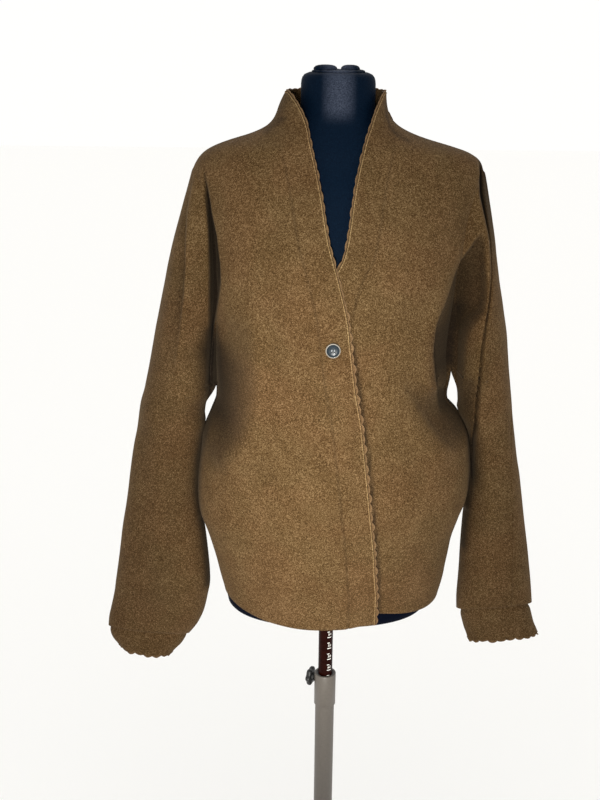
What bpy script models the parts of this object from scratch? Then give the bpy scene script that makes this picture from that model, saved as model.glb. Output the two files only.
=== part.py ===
"""Wool jacket, cut with kimono sleeves, on a limbless dress form with a pole stand.

Metres, +Z up, origin under the middle of the base plate. The jacket's front faces -Y,
so the wearer's right is at -X. Every cloth piece is a wall worked out from level
sections: the body and each sleeve are rounded rings, which meet in a valley above the
underarm and part below it.
"""
import math
from bisect import bisect_right
from collections import namedtuple

import bmesh
import bpy
from mathutils import Vector

# Cloth
CLOTH = 0.0025
SEAM = 0.0003
HEM_LEVEL = 0.690
HEM_BLEND = 0.100
JACKET_SIDE = 0.0035
BODY_COLUMNS = 8
SLEEVE_COLUMNS = 6
CHEST_ROWS = 9
SKIRT_ROWS = 10
SLEEVE_ROWS = 12
PLAIN_SPLIT = 0.86
OUTLINE_STEPS = 200
FOLD_FADE = 0.035
SLEEVE_POWER = 2.2
SLEEVE_END_BLEND = 0.140
SLEEVE_END_RISE_OUT = 0.0065
SLEEVE_END_RISE_FRONT = 0.0170

# Front opening: the wearer's right front lies on the left one
OVERLAP_LIFT = 0.0034
LIFT_FROM = 0.095
LIFT_TO = 0.045

# Scalloped edging
SCALLOP_LENGTH = 0.015
SCALLOP_STEPS = 4
ROOT_STEPS = 2
EDGING_GAP = 0.0009
EDGING_ROOT = 0.0022
EDGING_BULGE = 0.0026
EDGING_THICKNESS = 0.0020
EDGING_SET_BACK = 0.0002

# Button
BUTTON_X = -0.005
BUTTON_Z = 1.129
BUTTON_RADIUS = 0.0103
BUTTON_HEIGHT = 0.0042
BUTTON_STANDOFF = 0.0009
BUTTON_HOLE = 0.0011
BUTTON_HOLE_RING = 0.0024

# Dress form and stand
FORM_COLUMNS = 24
POLE_RADIUS = 0.0115
POLE_FOOT = 0.215
SOCKET_TOP = 0.7550
TUBE_RADIUS = 0.0155
BORE_RADIUS = 0.0118
TUBE_TOP = 0.5390
COLLAR_FOOT = 0.4850
COLLAR_TOP = 0.5430
COLLAR_RADIUS = 0.0174
BASE_RADIUS = 0.180
BASE_THICKNESS = 0.0060
BASE_EDGE = 0.0020
KNOB_Z = 0.5290
KNOB_AZIMUTH = 155.0
KNOB_RADIUS = 0.0155
KNOB_LENGTH = 0.0110
KNOB_LOBES = 6
KNOB_STEPS = 30
KNOB_DIP = 0.085
KNOB_HUB_RADIUS = 0.0066
KNOB_GAP = 0.0012
STUD_RADIUS = 0.0030
STUD_HOLE = 0.0034
ROUND_STEPS = 32

# Body sections: height, half-widths on the wearer's right and left, depths, roundness
Section = namedtuple("Section", "z right left front back power")
BODY = [Section(*row) for row in (
    (0.6880, 0.1650, 0.1710, 0.1180, 0.1180, 2.4),
    (0.7150, 0.1705, 0.1765, 0.1215, 0.1220, 2.4),
    (0.7580, 0.1780, 0.1810, 0.1270, 0.1275, 2.4),
    (0.8050, 0.1895, 0.1880, 0.1315, 0.1320, 2.4),
    (0.8400, 0.2020, 0.1985, 0.1350, 0.1345, 2.4),
    (0.8675, 0.2045, 0.2055, 0.1365, 0.1345, 2.4),
    (0.9050, 0.2025, 0.2055, 0.1370, 0.1300, 2.4),
    (0.9400, 0.1970, 0.1995, 0.1360, 0.1240, 2.4),
    (0.9680, 0.1910, 0.1955, 0.1350, 0.1190, 2.4),
    (0.9950, 0.1790, 0.1845, 0.1350, 0.1160, 2.4),
    (1.0200, 0.1745, 0.1700, 0.1355, 0.1150, 2.4),
    (1.0600, 0.1740, 0.1740, 0.1370, 0.1160, 2.4),
    (1.1300, 0.1755, 0.1765, 0.1385, 0.1210, 2.4),
    (1.2000, 0.1780, 0.1800, 0.1365, 0.1240, 2.4),
    (1.2500, 0.1820, 0.1850, 0.1300, 0.1210, 2.4),
    (1.3000, 0.1910, 0.1960, 0.1140, 0.1150, 2.4),
    (1.3340, 0.2000, 0.2045, 0.1010, 0.1090, 2.4),
    (1.3520, 0.1990, 0.2050, 0.0935, 0.1045, 2.4),
    (1.3680, 0.1905, 0.1985, 0.0865, 0.0995, 2.4),
    (1.3790, 0.1765, 0.1810, 0.0815, 0.0950, 2.4),
    (1.3880, 0.1600, 0.1530, 0.0780, 0.0910, 2.4),
    (1.3960, 0.1385, 0.1260, 0.0745, 0.0870, 2.3),
    (1.4040, 0.1160, 0.1040, 0.0715, 0.0830, 2.2),
    (1.4130, 0.0980, 0.0860, 0.0690, 0.0780, 2.1),
    (1.4250, 0.0880, 0.0735, 0.0670, 0.0720, 2.1),
    (1.4380, 0.0835, 0.0685, 0.0640, 0.0670, 2.1),
    (1.4500, 0.0785, 0.0665, 0.0600, 0.0640, 2.1),
    (1.4590, 0.0735, 0.0660, 0.0580, 0.0625, 2.1))]
SHOULDER_LEVELS = [row.z for row in BODY if row.z >= 1.3340]

# Sleeve sections: height, nearest and farthest distance from the middle, half depth
Sleeve = namedtuple("Sleeve", "z inner outer depth")
SLEEVES = {
    "right": [Sleeve(*row) for row in (
        (0.6210, 0.2230, 0.3535, 0.0430),
        (0.6380, 0.2105, 0.3515, 0.0470),
        (0.6600, 0.2000, 0.3465, 0.0500),
        (0.6885, 0.1928, 0.3405, 0.0530),
        (0.7100, 0.1890, 0.3375, 0.0560),
        (0.7590, 0.1916, 0.3300, 0.0560),
        (0.8050, 0.1965, 0.3232, 0.0550),
        (0.8425, 0.2055, 0.3162, 0.0540),
        (0.8675, 0.2075, 0.3120, 0.0540),
        (0.9050, 0.2060, 0.3065, 0.0550),
        (0.9435, 0.2000, 0.2998, 0.0560),
        (0.9680, 0.1945, 0.2945, 0.0580),
        (1.0080, 0.1880, 0.2880, 0.0640),
        (1.0350, 0.1745, 0.2800, 0.0690),
        (1.1300, 0.1660, 0.2604, 0.0730),
        (1.2000, 0.1600, 0.2450, 0.0690),
        (1.2500, 0.1570, 0.2335, 0.0640),
        (1.3000, 0.1540, 0.2190, 0.0550),
        (1.3340, 0.1520, 0.2075, 0.0460),
        (1.3520, 0.1500, 0.2015, 0.0400))],
    "left": [Sleeve(*row) for row in (
        (0.6700, 0.2050, 0.3235, 0.0430),
        (0.6940, 0.2040, 0.3205, 0.0480),
        (0.7230, 0.2050, 0.3165, 0.0520),
        (0.7800, 0.2055, 0.3080, 0.0530),
        (0.8240, 0.2065, 0.3005, 0.0530),
        (0.8620, 0.2090, 0.2940, 0.0530),
        (0.8990, 0.2105, 0.2875, 0.0530),
        (0.9300, 0.2070, 0.2810, 0.0540),
        (0.9655, 0.1995, 0.2750, 0.0560),
        (0.9960, 0.1915, 0.2700, 0.0580),
        (1.0300, 0.1870, 0.2650, 0.0630),
        (1.0650, 0.1740, 0.2600, 0.0680),
        (1.1300, 0.1690, 0.2510, 0.0700),
        (1.2000, 0.1640, 0.2370, 0.0670),
        (1.2500, 0.1600, 0.2280, 0.0620),
        (1.3000, 0.1560, 0.2190, 0.0540),
        (1.3340, 0.1520, 0.2120, 0.0460),
        (1.3520, 0.1500, 0.2080, 0.0400))]}
CUFFS = {
    "right": [Sleeve(*row) for row in (
        (0.5780, 0.2520, 0.3360, 0.0365),
        (0.5920, 0.2430, 0.3420, 0.0380),
        (0.6060, 0.2345, 0.3470, 0.0390),
        (0.6196, 0.2270, 0.3495, 0.0400))],
    "left": [Sleeve(*row) for row in (
        (0.6120, 0.2255, 0.3350, 0.0370),
        (0.6310, 0.2205, 0.3300, 0.0385),
        (0.6500, 0.2150, 0.3245, 0.0395),
        (0.6686, 0.2100, 0.3195, 0.0400))]}
UNDERARM = {"right": 1.0350, "left": 1.0650}
SLEEVE_END = {"right": 0.6210, "left": 0.6700}
SIGN = {"right": -1.0, "left": 1.0}

# Neck and front edges: height, distance from the middle on the panel's own side
Edge = namedtuple("Edge", "z x")
EDGES = {
    "right": [Edge(*row) for row in (
        (0.6880, -0.0660), (0.7444, -0.0655), (0.7799, -0.0625), (0.8295, -0.0585),
        (0.8788, -0.0525), (0.9270, -0.0470), (0.9735, -0.0412), (1.0191, -0.0355),
        (1.0709, -0.0260), (1.1274, -0.0184), (1.1700, -0.0128), (1.2242, 0.0005),
        (1.2500, 0.0080), (1.2768, 0.0150), (1.3280, 0.0240), (1.3646, 0.0318),
        (1.3980, 0.0402), (1.4137, 0.0432), (1.4301, 0.0492), (1.4457, 0.0580),
        (1.4530, 0.0640), (1.4570, 0.0675), (1.4590, 0.0700))],
    "left": [Edge(*row) for row in (
        (0.6880, -0.0350), (1.1000, -0.0280), (1.1700, -0.0200), (1.2200, -0.0070),
        (1.2515, 0.0083), (1.2886, 0.0160), (1.3207, 0.0203), (1.3543, 0.0260),
        (1.3860, 0.0336), (1.4021, 0.0380), (1.4163, 0.0437), (1.4292, 0.0480),
        (1.4405, 0.0530), (1.4530, 0.0590), (1.4570, 0.0613), (1.4590, 0.0635))]}

# Hem: place across the body, height
Hem = namedtuple("Hem", "x z")
HEM = {
    "front_right": [Hem(*row) for row in (
        (-0.170, 0.6850), (-0.100, 0.6925), (-0.030, 0.6940), (0.020, 0.7010),
        (0.045, 0.7060), (0.069, 0.7050))],
    "front_left": [Hem(*row) for row in (
        (-0.040, 0.7170), (0.070, 0.7150), (0.130, 0.7055), (0.176, 0.6850))],
    "back": [Hem(*row) for row in (
        (-0.170, 0.6850), (-0.090, 0.6840), (0.000, 0.6820), (0.090, 0.6840),
        (0.176, 0.6850))]}

# Large folds: panel, height of the ridge, half width, and its path as (x, z) places
Fold = namedtuple("Fold", "panel rise width path")
FOLDS = [Fold(*row) for row in (
    ("front_right", 0.006, 0.014, ((-0.204, 1.330), (-0.208, 1.250), (-0.213, 1.170), (-0.222, 1.100))),
    ("front_right", 0.007, 0.020, ((-0.110, 1.150), (-0.106, 1.060), (-0.130, 0.990), (-0.165, 0.960))),
    ("front_right", -0.010, 0.026, ((-0.150, 1.140), (-0.146, 1.070), (-0.158, 1.010))),
    ("front_right", 0.004, 0.030, ((-0.060, 1.180), (-0.080, 0.980), (-0.075, 0.760))),
    ("front_right", 0.005, 0.018, ((-0.265, 1.020), (-0.255, 0.880), (-0.262, 0.760))),
    ("front_left", 0.006, 0.014, ((0.196, 1.330), (0.211, 1.250), (0.210, 1.170), (0.204, 1.060))),
    ("front_left", 0.008, 0.016, ((0.180, 1.262), (0.152, 1.204), (0.137, 1.150), (0.138, 1.060))),
    ("front_left", -0.010, 0.022, ((0.172, 1.210), (0.162, 1.130), (0.160, 1.050))),
    ("front_left", 0.007, 0.016, ((0.099, 1.044), (0.151, 0.984), (0.180, 0.955))),
    ("front_left", 0.005, 0.016, ((0.205, 1.020), (0.222, 0.940), (0.240, 0.840))),
    ("back", 0.007, 0.022, ((-0.060, 1.300), (-0.120, 1.180), (-0.160, 1.080))),
    ("back", 0.007, 0.022, ((0.065, 1.290), (0.115, 1.170), (0.158, 1.090))),
    ("back", -0.007, 0.030, ((-0.020, 1.120), (-0.080, 1.040), (-0.140, 0.990))),
    ("back", 0.006, 0.026, ((0.040, 1.150), (0.100, 1.030), (0.165, 0.960))),
    ("back", 0.005, 0.016, ((-0.262, 1.030), (-0.250, 0.900), (-0.268, 0.760))),
    ("back", 0.005, 0.016, ((0.236, 1.040), (0.248, 0.900), (0.262, 0.780))))]

# Dress form: height, half width, front depth, back depth
Ring = namedtuple("Ring", "z half_width front back")
FORM = [Ring(*row) for row in (
    (1.4850, 0.0400, 0.0400, 0.0400),
    (1.4820, 0.0470, 0.0470, 0.0470),
    (1.4750, 0.0508, 0.0500, 0.0500),
    (1.4600, 0.0515, 0.0500, 0.0500),
    (1.4350, 0.0520, 0.0500, 0.0520),
    (1.4230, 0.0575, 0.0520, 0.0560),
    (1.4140, 0.0710, 0.0545, 0.0610),
    (1.4060, 0.0900, 0.0580, 0.0680),
    (1.3992, 0.1105, 0.0610, 0.0730),
    (1.3928, 0.1310, 0.0640, 0.0770),
    (1.3856, 0.1550, 0.0675, 0.0810),
    (1.3740, 0.1660, 0.0715, 0.0845),
    (1.3600, 0.1705, 0.0770, 0.0880),
    (1.3350, 0.1730, 0.0880, 0.0930),
    (1.3000, 0.1660, 0.1000, 0.0980),
    (1.2500, 0.1560, 0.1150, 0.1000),
    (1.2000, 0.1500, 0.1200, 0.0990),
    (1.1300, 0.1400, 0.1080, 0.0930),
    (1.0600, 0.1310, 0.0960, 0.0880),
    (1.0000, 0.1350, 0.0960, 0.0900),
    (0.9200, 0.1560, 0.1040, 0.1020),
    (0.8400, 0.1690, 0.1080, 0.1140),
    (0.7600, 0.1650, 0.1050, 0.1120),
    (0.7050, 0.1590, 0.1000, 0.1060),
    (0.6840, 0.1565, 0.0980, 0.1030),
    (0.6790, 0.1525, 0.0950, 0.1000))]
FORM_POWER = 2.25
GATHER_LOBES = ((-0.0155, 0.0125), (0.0165, 0.0105))

# Colour, roughness, metallic
WOOL = ((0.165, 0.098, 0.048, 1.0), 0.95, 0.0)
EDGING = ((0.185, 0.112, 0.058, 1.0), 0.95, 0.0)
JERSEY = ((0.012, 0.014, 0.030, 1.0), 0.90, 0.0)
HORN = ((0.030, 0.042, 0.060, 1.0), 0.35, 0.0)
RED_STEEL = ((0.060, 0.012, 0.008, 1.0), 0.30, 0.6)
GREY_STEEL = ((0.330, 0.310, 0.300, 1.0), 0.45, 0.4)
BLACK_PLASTIC = ((0.012, 0.012, 0.012, 1.0), 0.50, 0.0)


def material(name, finish):
    colour, roughness, metallic = finish
    made = bpy.data.materials.get(name) or bpy.data.materials.new(name)
    made.use_nodes = True
    shader = made.node_tree.nodes["Principled BSDF"]
    shader.inputs["Base Color"].default_value = colour
    shader.inputs["Roughness"].default_value = roughness
    shader.inputs["Metallic"].default_value = metallic
    return made


def solid(name, points, faces, finish, label):
    """One closed body from its points and faces, its normals turned outwards."""
    mesh = bpy.data.meshes.new(name)
    mesh.from_pydata([tuple(point) for point in points], [], faces)
    form = bmesh.new()
    form.from_mesh(mesh)
    bmesh.ops.recalc_face_normals(form, faces=form.faces)
    form.to_mesh(mesh)
    form.free()
    mesh.shade_smooth()
    mesh.set_sharp_from_angle(angle=math.radians(50))
    mesh.materials.append(material(label, finish))
    made = bpy.data.objects.new(name, mesh)
    bpy.context.collection.objects.link(made)
    return made


def smooth_step(value, start, end):
    share = min(1.0, max(0.0, (value - start) / (end - start)))
    return share * share * (3.0 - 2.0 * share)


def curve_value(places, values, at):
    """Height at one place of the smooth curve through a table's two columns."""
    if at <= places[0]:
        return values[0]
    if at >= places[-1]:
        return values[-1]
    low = bisect_right(places, at) - 1

    def slope(row):
        before, after = max(row - 1, 0), min(row + 1, len(places) - 1)
        return (values[after] - values[before]) / (places[after] - places[before])

    span = places[low + 1] - places[low]
    t = (at - places[low]) / span
    return ((1 + 2 * t) * (1 - t) ** 2 * values[low]
            + t * (1 - t) ** 2 * span * slope(low)
            + t * t * (3 - 2 * t) * values[low + 1]
            + t * t * (t - 1) * span * slope(low + 1))


def read(table, column, at):
    """A table's named column at one height or place, between its rows."""
    key = table[0]._fields[0]
    places = [getattr(row, key) for row in table]
    return curve_value(places, [getattr(row, column) for row in table], at)


def arc_point(half_width, depth, power, angle):
    across, along = math.sin(angle), math.cos(angle)
    return (math.copysign(half_width * abs(across) ** (2 / power), across),
            depth * abs(along) ** (2 / power))


def arc_depth(x, half_width, depth, power):
    share = min(1.0, abs(x) / half_width)
    return depth * (1.0 - share ** power) ** (1 / power)


def resample(points, count):
    """The same outline with its points evenly spaced along it."""
    lengths = [0.0]
    for here, after in zip(points, points[1:]):
        lengths.append(lengths[-1] + math.dist(here, after))
    spaced = []
    for step in range(count + 1):
        wanted = lengths[-1] * step / count
        low = min(bisect_right(lengths, wanted) - 1, len(points) - 2)
        span = lengths[low + 1] - lengths[low]
        t = 0.0 if span == 0.0 else (wanted - lengths[low]) / span
        spaced.append(tuple(a + (b - a) * t for a, b in zip(points[low], points[low + 1])))
    return spaced


def body_arc(side, face, z, start, steps=90):
    """The body's outline from a place across it to the side seam, as (x, depth)."""
    half_width, power = read(BODY, side, z), read(BODY, "power", z)
    depth = read(BODY, face, z)
    share = min(0.9998, abs(start) / half_width)
    first = math.copysign(math.asin(share ** (power / 2)), start)
    last = math.pi / 2
    return [arc_point(half_width, depth, power, first + (last - first) * step / steps)
            for step in range(steps + 1)]


def sleeve_arc(rows, z, steps=90):
    """A sleeve's half outline from its inner seam to its outer one, as (x, depth)."""
    inner, outer, depth = (read(rows, column, z) for column in ("inner", "outer", "depth"))
    middle, half_width = (inner + outer) / 2, (outer - inner) / 2
    points = []
    for step in range(steps + 1):
        x, y = arc_point(half_width, depth, SLEEVE_POWER, math.pi * (step / steps - 0.5))
        points.append((middle + x, y))
    return points


def valley(side, face, z):
    """Where the body's outline and the sleeve's cross, or None where the sleeve is inside."""
    rows = SLEEVES[side]
    half_width, power = read(BODY, side, z), read(BODY, "power", z)
    inner, outer = read(rows, "inner", z), read(rows, "outer", z)
    if z > rows[-1].z or outer <= half_width * 1.002:
        return None
    if z <= UNDERARM[side]:
        return ((half_width + inner) / 2, 0.0)
    middle, sleeve_half = (inner + outer) / 2, (outer - inner) / 2

    def body_is_deeper(x):
        body = arc_depth(x, half_width, read(BODY, face, z), power)
        sleeve = arc_depth(x - middle, sleeve_half, read(rows, "depth", z), SLEEVE_POWER)
        return body > sleeve

    low, high = inner, half_width
    for _ in range(40):
        x = (low + high) / 2
        low, high = (x, high) if body_is_deeper(x) else (low, x)
    return (low, arc_depth(low, half_width, read(BODY, face, z), power))


def joined_outline(side, face, z, start):
    """Body and sleeve in one outline above the underarm, from the start to the overarm."""
    crossing = valley(side, face, z)
    body = body_arc(side, face, z, start)
    if crossing is None:
        even = resample(body, OUTLINE_STEPS)
        split = int(OUTLINE_STEPS * PLAIN_SPLIT)
        return (resample(even[:split + 1], BODY_COLUMNS)
                + resample(even[split:], SLEEVE_COLUMNS)[1:])
    near = [point for point in body if point[0] < crossing[0]] + [crossing]
    far = [crossing] + [point for point in sleeve_arc(SLEEVES[side], z) if point[0] > crossing[0]]
    return resample(near, BODY_COLUMNS) + resample(far, SLEEVE_COLUMNS)[1:]


def even_levels(top, bottom, count):
    return [top + (bottom - top) * row / count for row in range(1, count + 1)]


def fold_rise(panel, x, z):
    """How far the large folds push a panel out at one place."""
    rise = 0.0
    for fold in FOLDS:
        if fold.panel != panel:
            continue
        nearest = min(segment_distance((x, z), a, b) for a, b in zip(fold.path, fold.path[1:]))
        rise += fold.rise * math.exp(-(nearest / fold.width) ** 2)
    return rise


def segment_distance(place, start, end):
    along = (end[0] - start[0], end[1] - start[1])
    offset = (place[0] - start[0], place[1] - start[1])
    t = (offset[0] * along[0] + offset[1] * along[1]) / (along[0] ** 2 + along[1] ** 2)
    t = min(1.0, max(0.0, t))
    return math.hypot(offset[0] - along[0] * t, offset[1] - along[1] * t)


def cloth_point(panel, side, face, outline_point, z, is_body):
    """A panel's outer point in space, with its folds, its overlap and its hem."""
    across, depth = outline_point
    x = SIGN[side] * across
    if is_body and z < HEM_LEVEL + HEM_BLEND:
        share = smooth_step(HEM_LEVEL + HEM_BLEND - z, 0.0, HEM_BLEND)
        z += (read(HEM[panel], "z", x) - HEM_LEVEL) * share
    if not is_body:
        ahead = depth if face == "front" else -depth
        z += sleeve_end_rise(side, SLEEVES[side], across, ahead, z)
    calm = smooth_step(depth, 0.0, FOLD_FADE)
    out = depth + fold_rise(panel, x, z) * calm + SEAM / 2
    if panel == "front_right":
        out += OVERLAP_LIFT * smooth_step(LIFT_FROM - across, 0.0, LIFT_FROM - LIFT_TO)
    return Vector((x + JACKET_SIDE, -out if face == "front" else out, z))


def sleeve_end_rise(side, rows, across, ahead, z):
    """A sleeve's end and its cuff are cut square to the arm, so they rise out and ahead."""
    share = smooth_step(SLEEVE_END[side] + SLEEVE_END_BLEND - z, 0.0, SLEEVE_END_BLEND)
    inner, outer, depth = (read(rows, column, z) for column in ("inner", "outer", "depth"))
    out_share = (2 * across - inner - outer) / (outer - inner)
    return share * (out_share * SLEEVE_END_RISE_OUT + ahead / depth * SLEEVE_END_RISE_FRONT)


class Cloth:
    """Points and faces of one panel's outer surface, and which points are on a seam."""

    def __init__(self):
        self.points, self.faces, self.on_seam = [], [], []

    def add(self, point, on_seam):
        self.points.append(point)
        self.on_seam.append(on_seam)
        return len(self.points) - 1

    def join(self, rows):
        for upper, lower in zip(rows, rows[1:]):
            for k in range(len(upper) - 1):
                self.faces.append((upper[k], upper[k + 1], lower[k + 1], lower[k]))


def half_panel(cloth, panel, side, face, start_at, shared_column=None):
    """One side of a panel: joined rows, then body rows and sleeve rows apart."""
    chest = SHOULDER_LEVELS[::-1] + even_levels(SHOULDER_LEVELS[0], UNDERARM[side], CHEST_ROWS)
    skirt = even_levels(UNDERARM[side], HEM_LEVEL, SKIRT_ROWS)
    arm = even_levels(UNDERARM[side], SLEEVE_END[side], SLEEVE_ROWS)

    def row_of(outline, z, is_body, first_seam, row_index):
        made = []
        for k, place in enumerate(outline):
            if k == 0 and shared_column and is_body:
                made.append(shared_column[row_index])
                continue
            seam = k == len(outline) - 1 or (first_seam and k == 0)
            point = cloth_point(panel, side, face, place, z, is_body)
            made.append(cloth.add(point, seam))
        return made

    joined = []
    for index, z in enumerate(chest):
        outline = joined_outline(side, face, z, start_at(z))
        joined.append(row_of(outline, z, True, False, index))
    apex = joined[-1][BODY_COLUMNS]
    cloth.on_seam[apex] = True
    body_rows = [joined[-1][:BODY_COLUMNS + 1]]
    for index, z in enumerate(skirt):
        outline = resample(body_arc(side, face, z, start_at(z)), BODY_COLUMNS)
        body_rows.append(row_of(outline, z, True, False, len(chest) + index))
    arm_rows = [joined[-1][BODY_COLUMNS:]]
    for z in arm:
        outline = resample(sleeve_arc(SLEEVES[side], z), SLEEVE_COLUMNS)
        arm_rows.append(row_of(outline, z, False, True, 0))
    cloth.join(joined)
    cloth.join(body_rows)
    cloth.join(arm_rows)
    return joined, body_rows


def surface_normals(points, faces, outside):
    """Each point's normal, turned the way that outside(point) gives."""
    normals = [Vector() for _ in points]
    for face in faces:
        a, b, c, d = (points[k] for k in face)
        normal = (c - a).cross(d - b)
        for k in face:
            normals[k] += normal
    for k, point in enumerate(points):
        if normals[k].dot(outside(point)) < 0:
            normals[k].negate()
        normals[k].normalize()
    return normals


def wall(points, inner, faces):
    """Outer and inner points joined into one closed wall."""
    count = len(points)
    border = set()
    for face in faces:
        for a, b in zip(face, face[1:] + face[:1]):
            border ^= {(min(a, b), max(a, b))}
    all_faces = list(faces)
    all_faces += [tuple(k + count for k in reversed(face)) for face in faces]
    all_faces += [(b, a, a + count, b + count) for a, b in sorted(border)]
    return list(points) + list(inner), all_faces


def cloth_wall(name, cloth, facing):
    """A panel as a wall, its seams flat so that its neighbour's lies along them."""
    outward = Vector((0, facing, 0))

    def outside(point):
        return outward if abs(point.y) > SEAM else Vector((point.x, 0, 0.3))

    normals = surface_normals(cloth.points, cloth.faces, outside)
    inner = []
    for k, point in enumerate(cloth.points):
        if cloth.on_seam[k]:
            normals[k].y = 0.0
            normals[k].normalize()
        place = point - normals[k] * CLOTH
        place.y = facing * max(facing * place.y, SEAM / 2)
        inner.append(place)
    points, faces = wall(cloth.points, inner, cloth.faces)
    solid(name, points, faces, WOOL, "wool")
    return cloth.points, normals


def make_front(side):
    """A front with its sleeve's front half; gives the line from its hem to the shoulder."""
    name = "front_" + side
    cloth = Cloth()
    joined, body_rows = half_panel(cloth, name, side, "front",
                                   lambda z: read(EDGES[side], "x", z))
    outer, normals = cloth_wall(name, cloth, -1.0)
    rows = joined + body_rows[1:]
    line = [(outer[row[0]], normals[row[0]], outer[row[1]]) for row in rows]
    line[0] = (outer[rows[0][0]], normals[rows[0][0]], outer[rows[1][1]])
    collar_top = list(zip(rows[0], rows[1]))[1:]
    return line[::-1] + [(outer[a], normals[a], outer[b]) for a, b in collar_top]


def make_back():
    """The back with both sleeves' back halves; gives the line along the collar's edge."""
    cloth = Cloth()
    right_joined, right_body = half_panel(cloth, "back", "right", "back", lambda z: 0.0)
    middle = [row[0] for row in right_joined + right_body[1:]]
    left_joined, _ = half_panel_left_back(cloth, middle)
    outer, normals = cloth_wall("back", cloth, 1.0)
    across = right_joined[0][::-1] + left_joined[0][1:]
    below = right_joined[1][::-1] + left_joined[1][1:]
    return [(outer[a], normals[a], outer[b]) for a, b in zip(across, below)]


def half_panel_left_back(cloth, middle):
    """The back's left side, on the heights of its right side along the middle."""
    heights = [cloth.points[k].z for k in middle]
    own = SHOULDER_LEVELS[::-1] + even_levels(SHOULDER_LEVELS[0], UNDERARM["left"], CHEST_ROWS)
    own += even_levels(UNDERARM["left"], HEM_LEVEL, SKIRT_ROWS)
    for k, height, wanted in zip(middle, heights, own):
        cloth.points[k].z = (height + wanted) / 2 if wanted > HEM_LEVEL else height
    return half_panel(cloth, "back", "left", "back", lambda z: 0.0, middle)


def ring_faces(rings, closed_ends=True):
    """Faces between rings of equal count, with the two end rings filled."""
    count = len(rings[0])
    faces = []
    for row in range(len(rings) - 1):
        for k in range(count):
            after = (k + 1) % count
            faces.append((row * count + k, row * count + after,
                          (row + 1) * count + after, (row + 1) * count + k))
    if closed_ends:
        faces.append(tuple(range(count)))
        faces.append(tuple((len(rings) - 1) * count + k for k in range(count)))
    return faces


def cuff_ring(side, z, inset):
    """A cuff's whole outline at one height, drawn in by its wall where asked."""
    half = resample(sleeve_arc(CUFFS[side], z), 8)
    middle = (half[0][0] + half[-1][0]) / 2
    half_width, depth = (half[-1][0] - half[0][0]) / 2, read(CUFFS[side], "depth", z)
    loop = [(x, -y) for x, y in half] + [(x, y) for x, y in half[-2:0:-1]]
    points = []
    for x, y in loop:
        across = middle + (x - middle) * (half_width - inset) / half_width
        along = y * (depth - inset) / depth
        height = z + sleeve_end_rise(side, CUFFS[side], x, -y, z)
        points.append(Vector((SIGN[side] * across + JACKET_SIDE, along, height)))
    return points


def make_cuff(side):
    """A cuff as one tube; gives the line along its lower edge."""
    levels = [row.z for row in CUFFS[side]]
    outside = [cuff_ring(side, z, 0.0) for z in levels]
    inside = [cuff_ring(side, z, CLOTH) for z in reversed(levels)]
    rings = outside + inside
    rings.append(rings[0])
    faces = ring_faces(rings, closed_ends=False)
    count = len(outside[0])
    total = count * (len(rings) - 1)
    faces = [tuple(k % total for k in face) for face in faces]
    points = [point for ring in rings[:-1] for point in ring]
    solid("cuff_" + side, points, faces, WOOL, "wool")
    centre = sum(outside[0], Vector()) / count
    line = []
    for low, above in zip(outside[0], outside[1]):
        normal = Vector((low.x - centre.x, (low.y - centre.y) * 2, 0)).normalized()
        line.append((low, normal, above))
    return line + line[:1]


def scallop_place(line, lengths, step, steps):
    """One step along an edging: its outer side, inner side, direction and reach."""
    at = lengths[-1] * step / steps
    low = min(bisect_right(lengths, at) - 1, len(line) - 2)
    t = (at - lengths[low]) / (lengths[low + 1] - lengths[low])
    edge, normal, behind = (line[low][k].lerp(line[low + 1][k], t) for k in range(3))
    normal.normalize()
    along = (line[low + 1][0] - line[low][0]).normalized()
    away = edge - behind
    away -= normal * away.dot(normal)
    away -= along * away.dot(along)
    away.normalize()
    reach = EDGING_ROOT + EDGING_BULGE * abs(math.sin(math.pi * step / SCALLOP_STEPS))
    top = edge - normal * EDGING_SET_BACK
    return top, top - normal * EDGING_THICKNESS, away, reach


def make_edging(name, line, closed=False):
    """A scalloped strip along an edge, given as (edge point, normal, point behind it)."""
    lengths = [0.0]
    for here, after in zip(line, line[1:]):
        lengths.append(lengths[-1] + (after[0] - here[0]).length)
    waves = max(3, round(lengths[-1] / SCALLOP_LENGTH))
    steps = waves * SCALLOP_STEPS
    count = steps if closed else steps + 1
    rows = [scallop_place(line, lengths, step, steps) for step in range(count)]
    points, faces = [], []
    tips, roots = [], []
    for step, (top, bottom, away, reach) in enumerate(rows):
        tips.append((len(points), len(points) + 1))
        points += [top + away * reach, bottom + away * reach]
        if step % ROOT_STEPS == 0:
            roots.append((len(points), len(points) + 1))
            points += [top + away * EDGING_GAP, bottom + away * EDGING_GAP]
    for piece in range(steps // ROOT_STEPS):
        first = piece * ROOT_STEPS
        outer = [tips[(first + k) % len(tips)] for k in range(ROOT_STEPS + 1)]
        start, end = roots[piece], roots[(piece + 1) % len(roots)]
        for layer in (0, 1):
            faces.append(tuple(tip[layer] for tip in outer) + (end[layer], start[layer]))
        faces += [(a[0], b[0], b[1], a[1]) for a, b in zip(outer, outer[1:])]
        faces.append((start[0], end[0], end[1], start[1]))
    if not closed:
        faces += [(tips[k][0], tips[k][1], roots[k][1], roots[k][0]) for k in (0, -1)]
    solid(name, points, faces, EDGING, "edging")


def turned(name, profile, finish, label, steps=ROUND_STEPS, axis=None, at=None):
    """A closed profile of (radius, height) pairs turned about +Z, then placed."""
    rings = []
    for radius, height in profile:
        rings.append([Vector((radius * math.cos(math.tau * k / steps),
                              radius * math.sin(math.tau * k / steps), height))
                      for k in range(steps)])
    made = solid(name, [point for ring in rings for point in ring],
                 ring_faces(rings), finish, label)
    place(made, axis, at)
    return made


def place(made, axis, at):
    if axis is not None:
        made.rotation_euler = axis.to_track_quat("Z", "Y").to_euler()
    if at is not None:
        made.location = at


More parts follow.
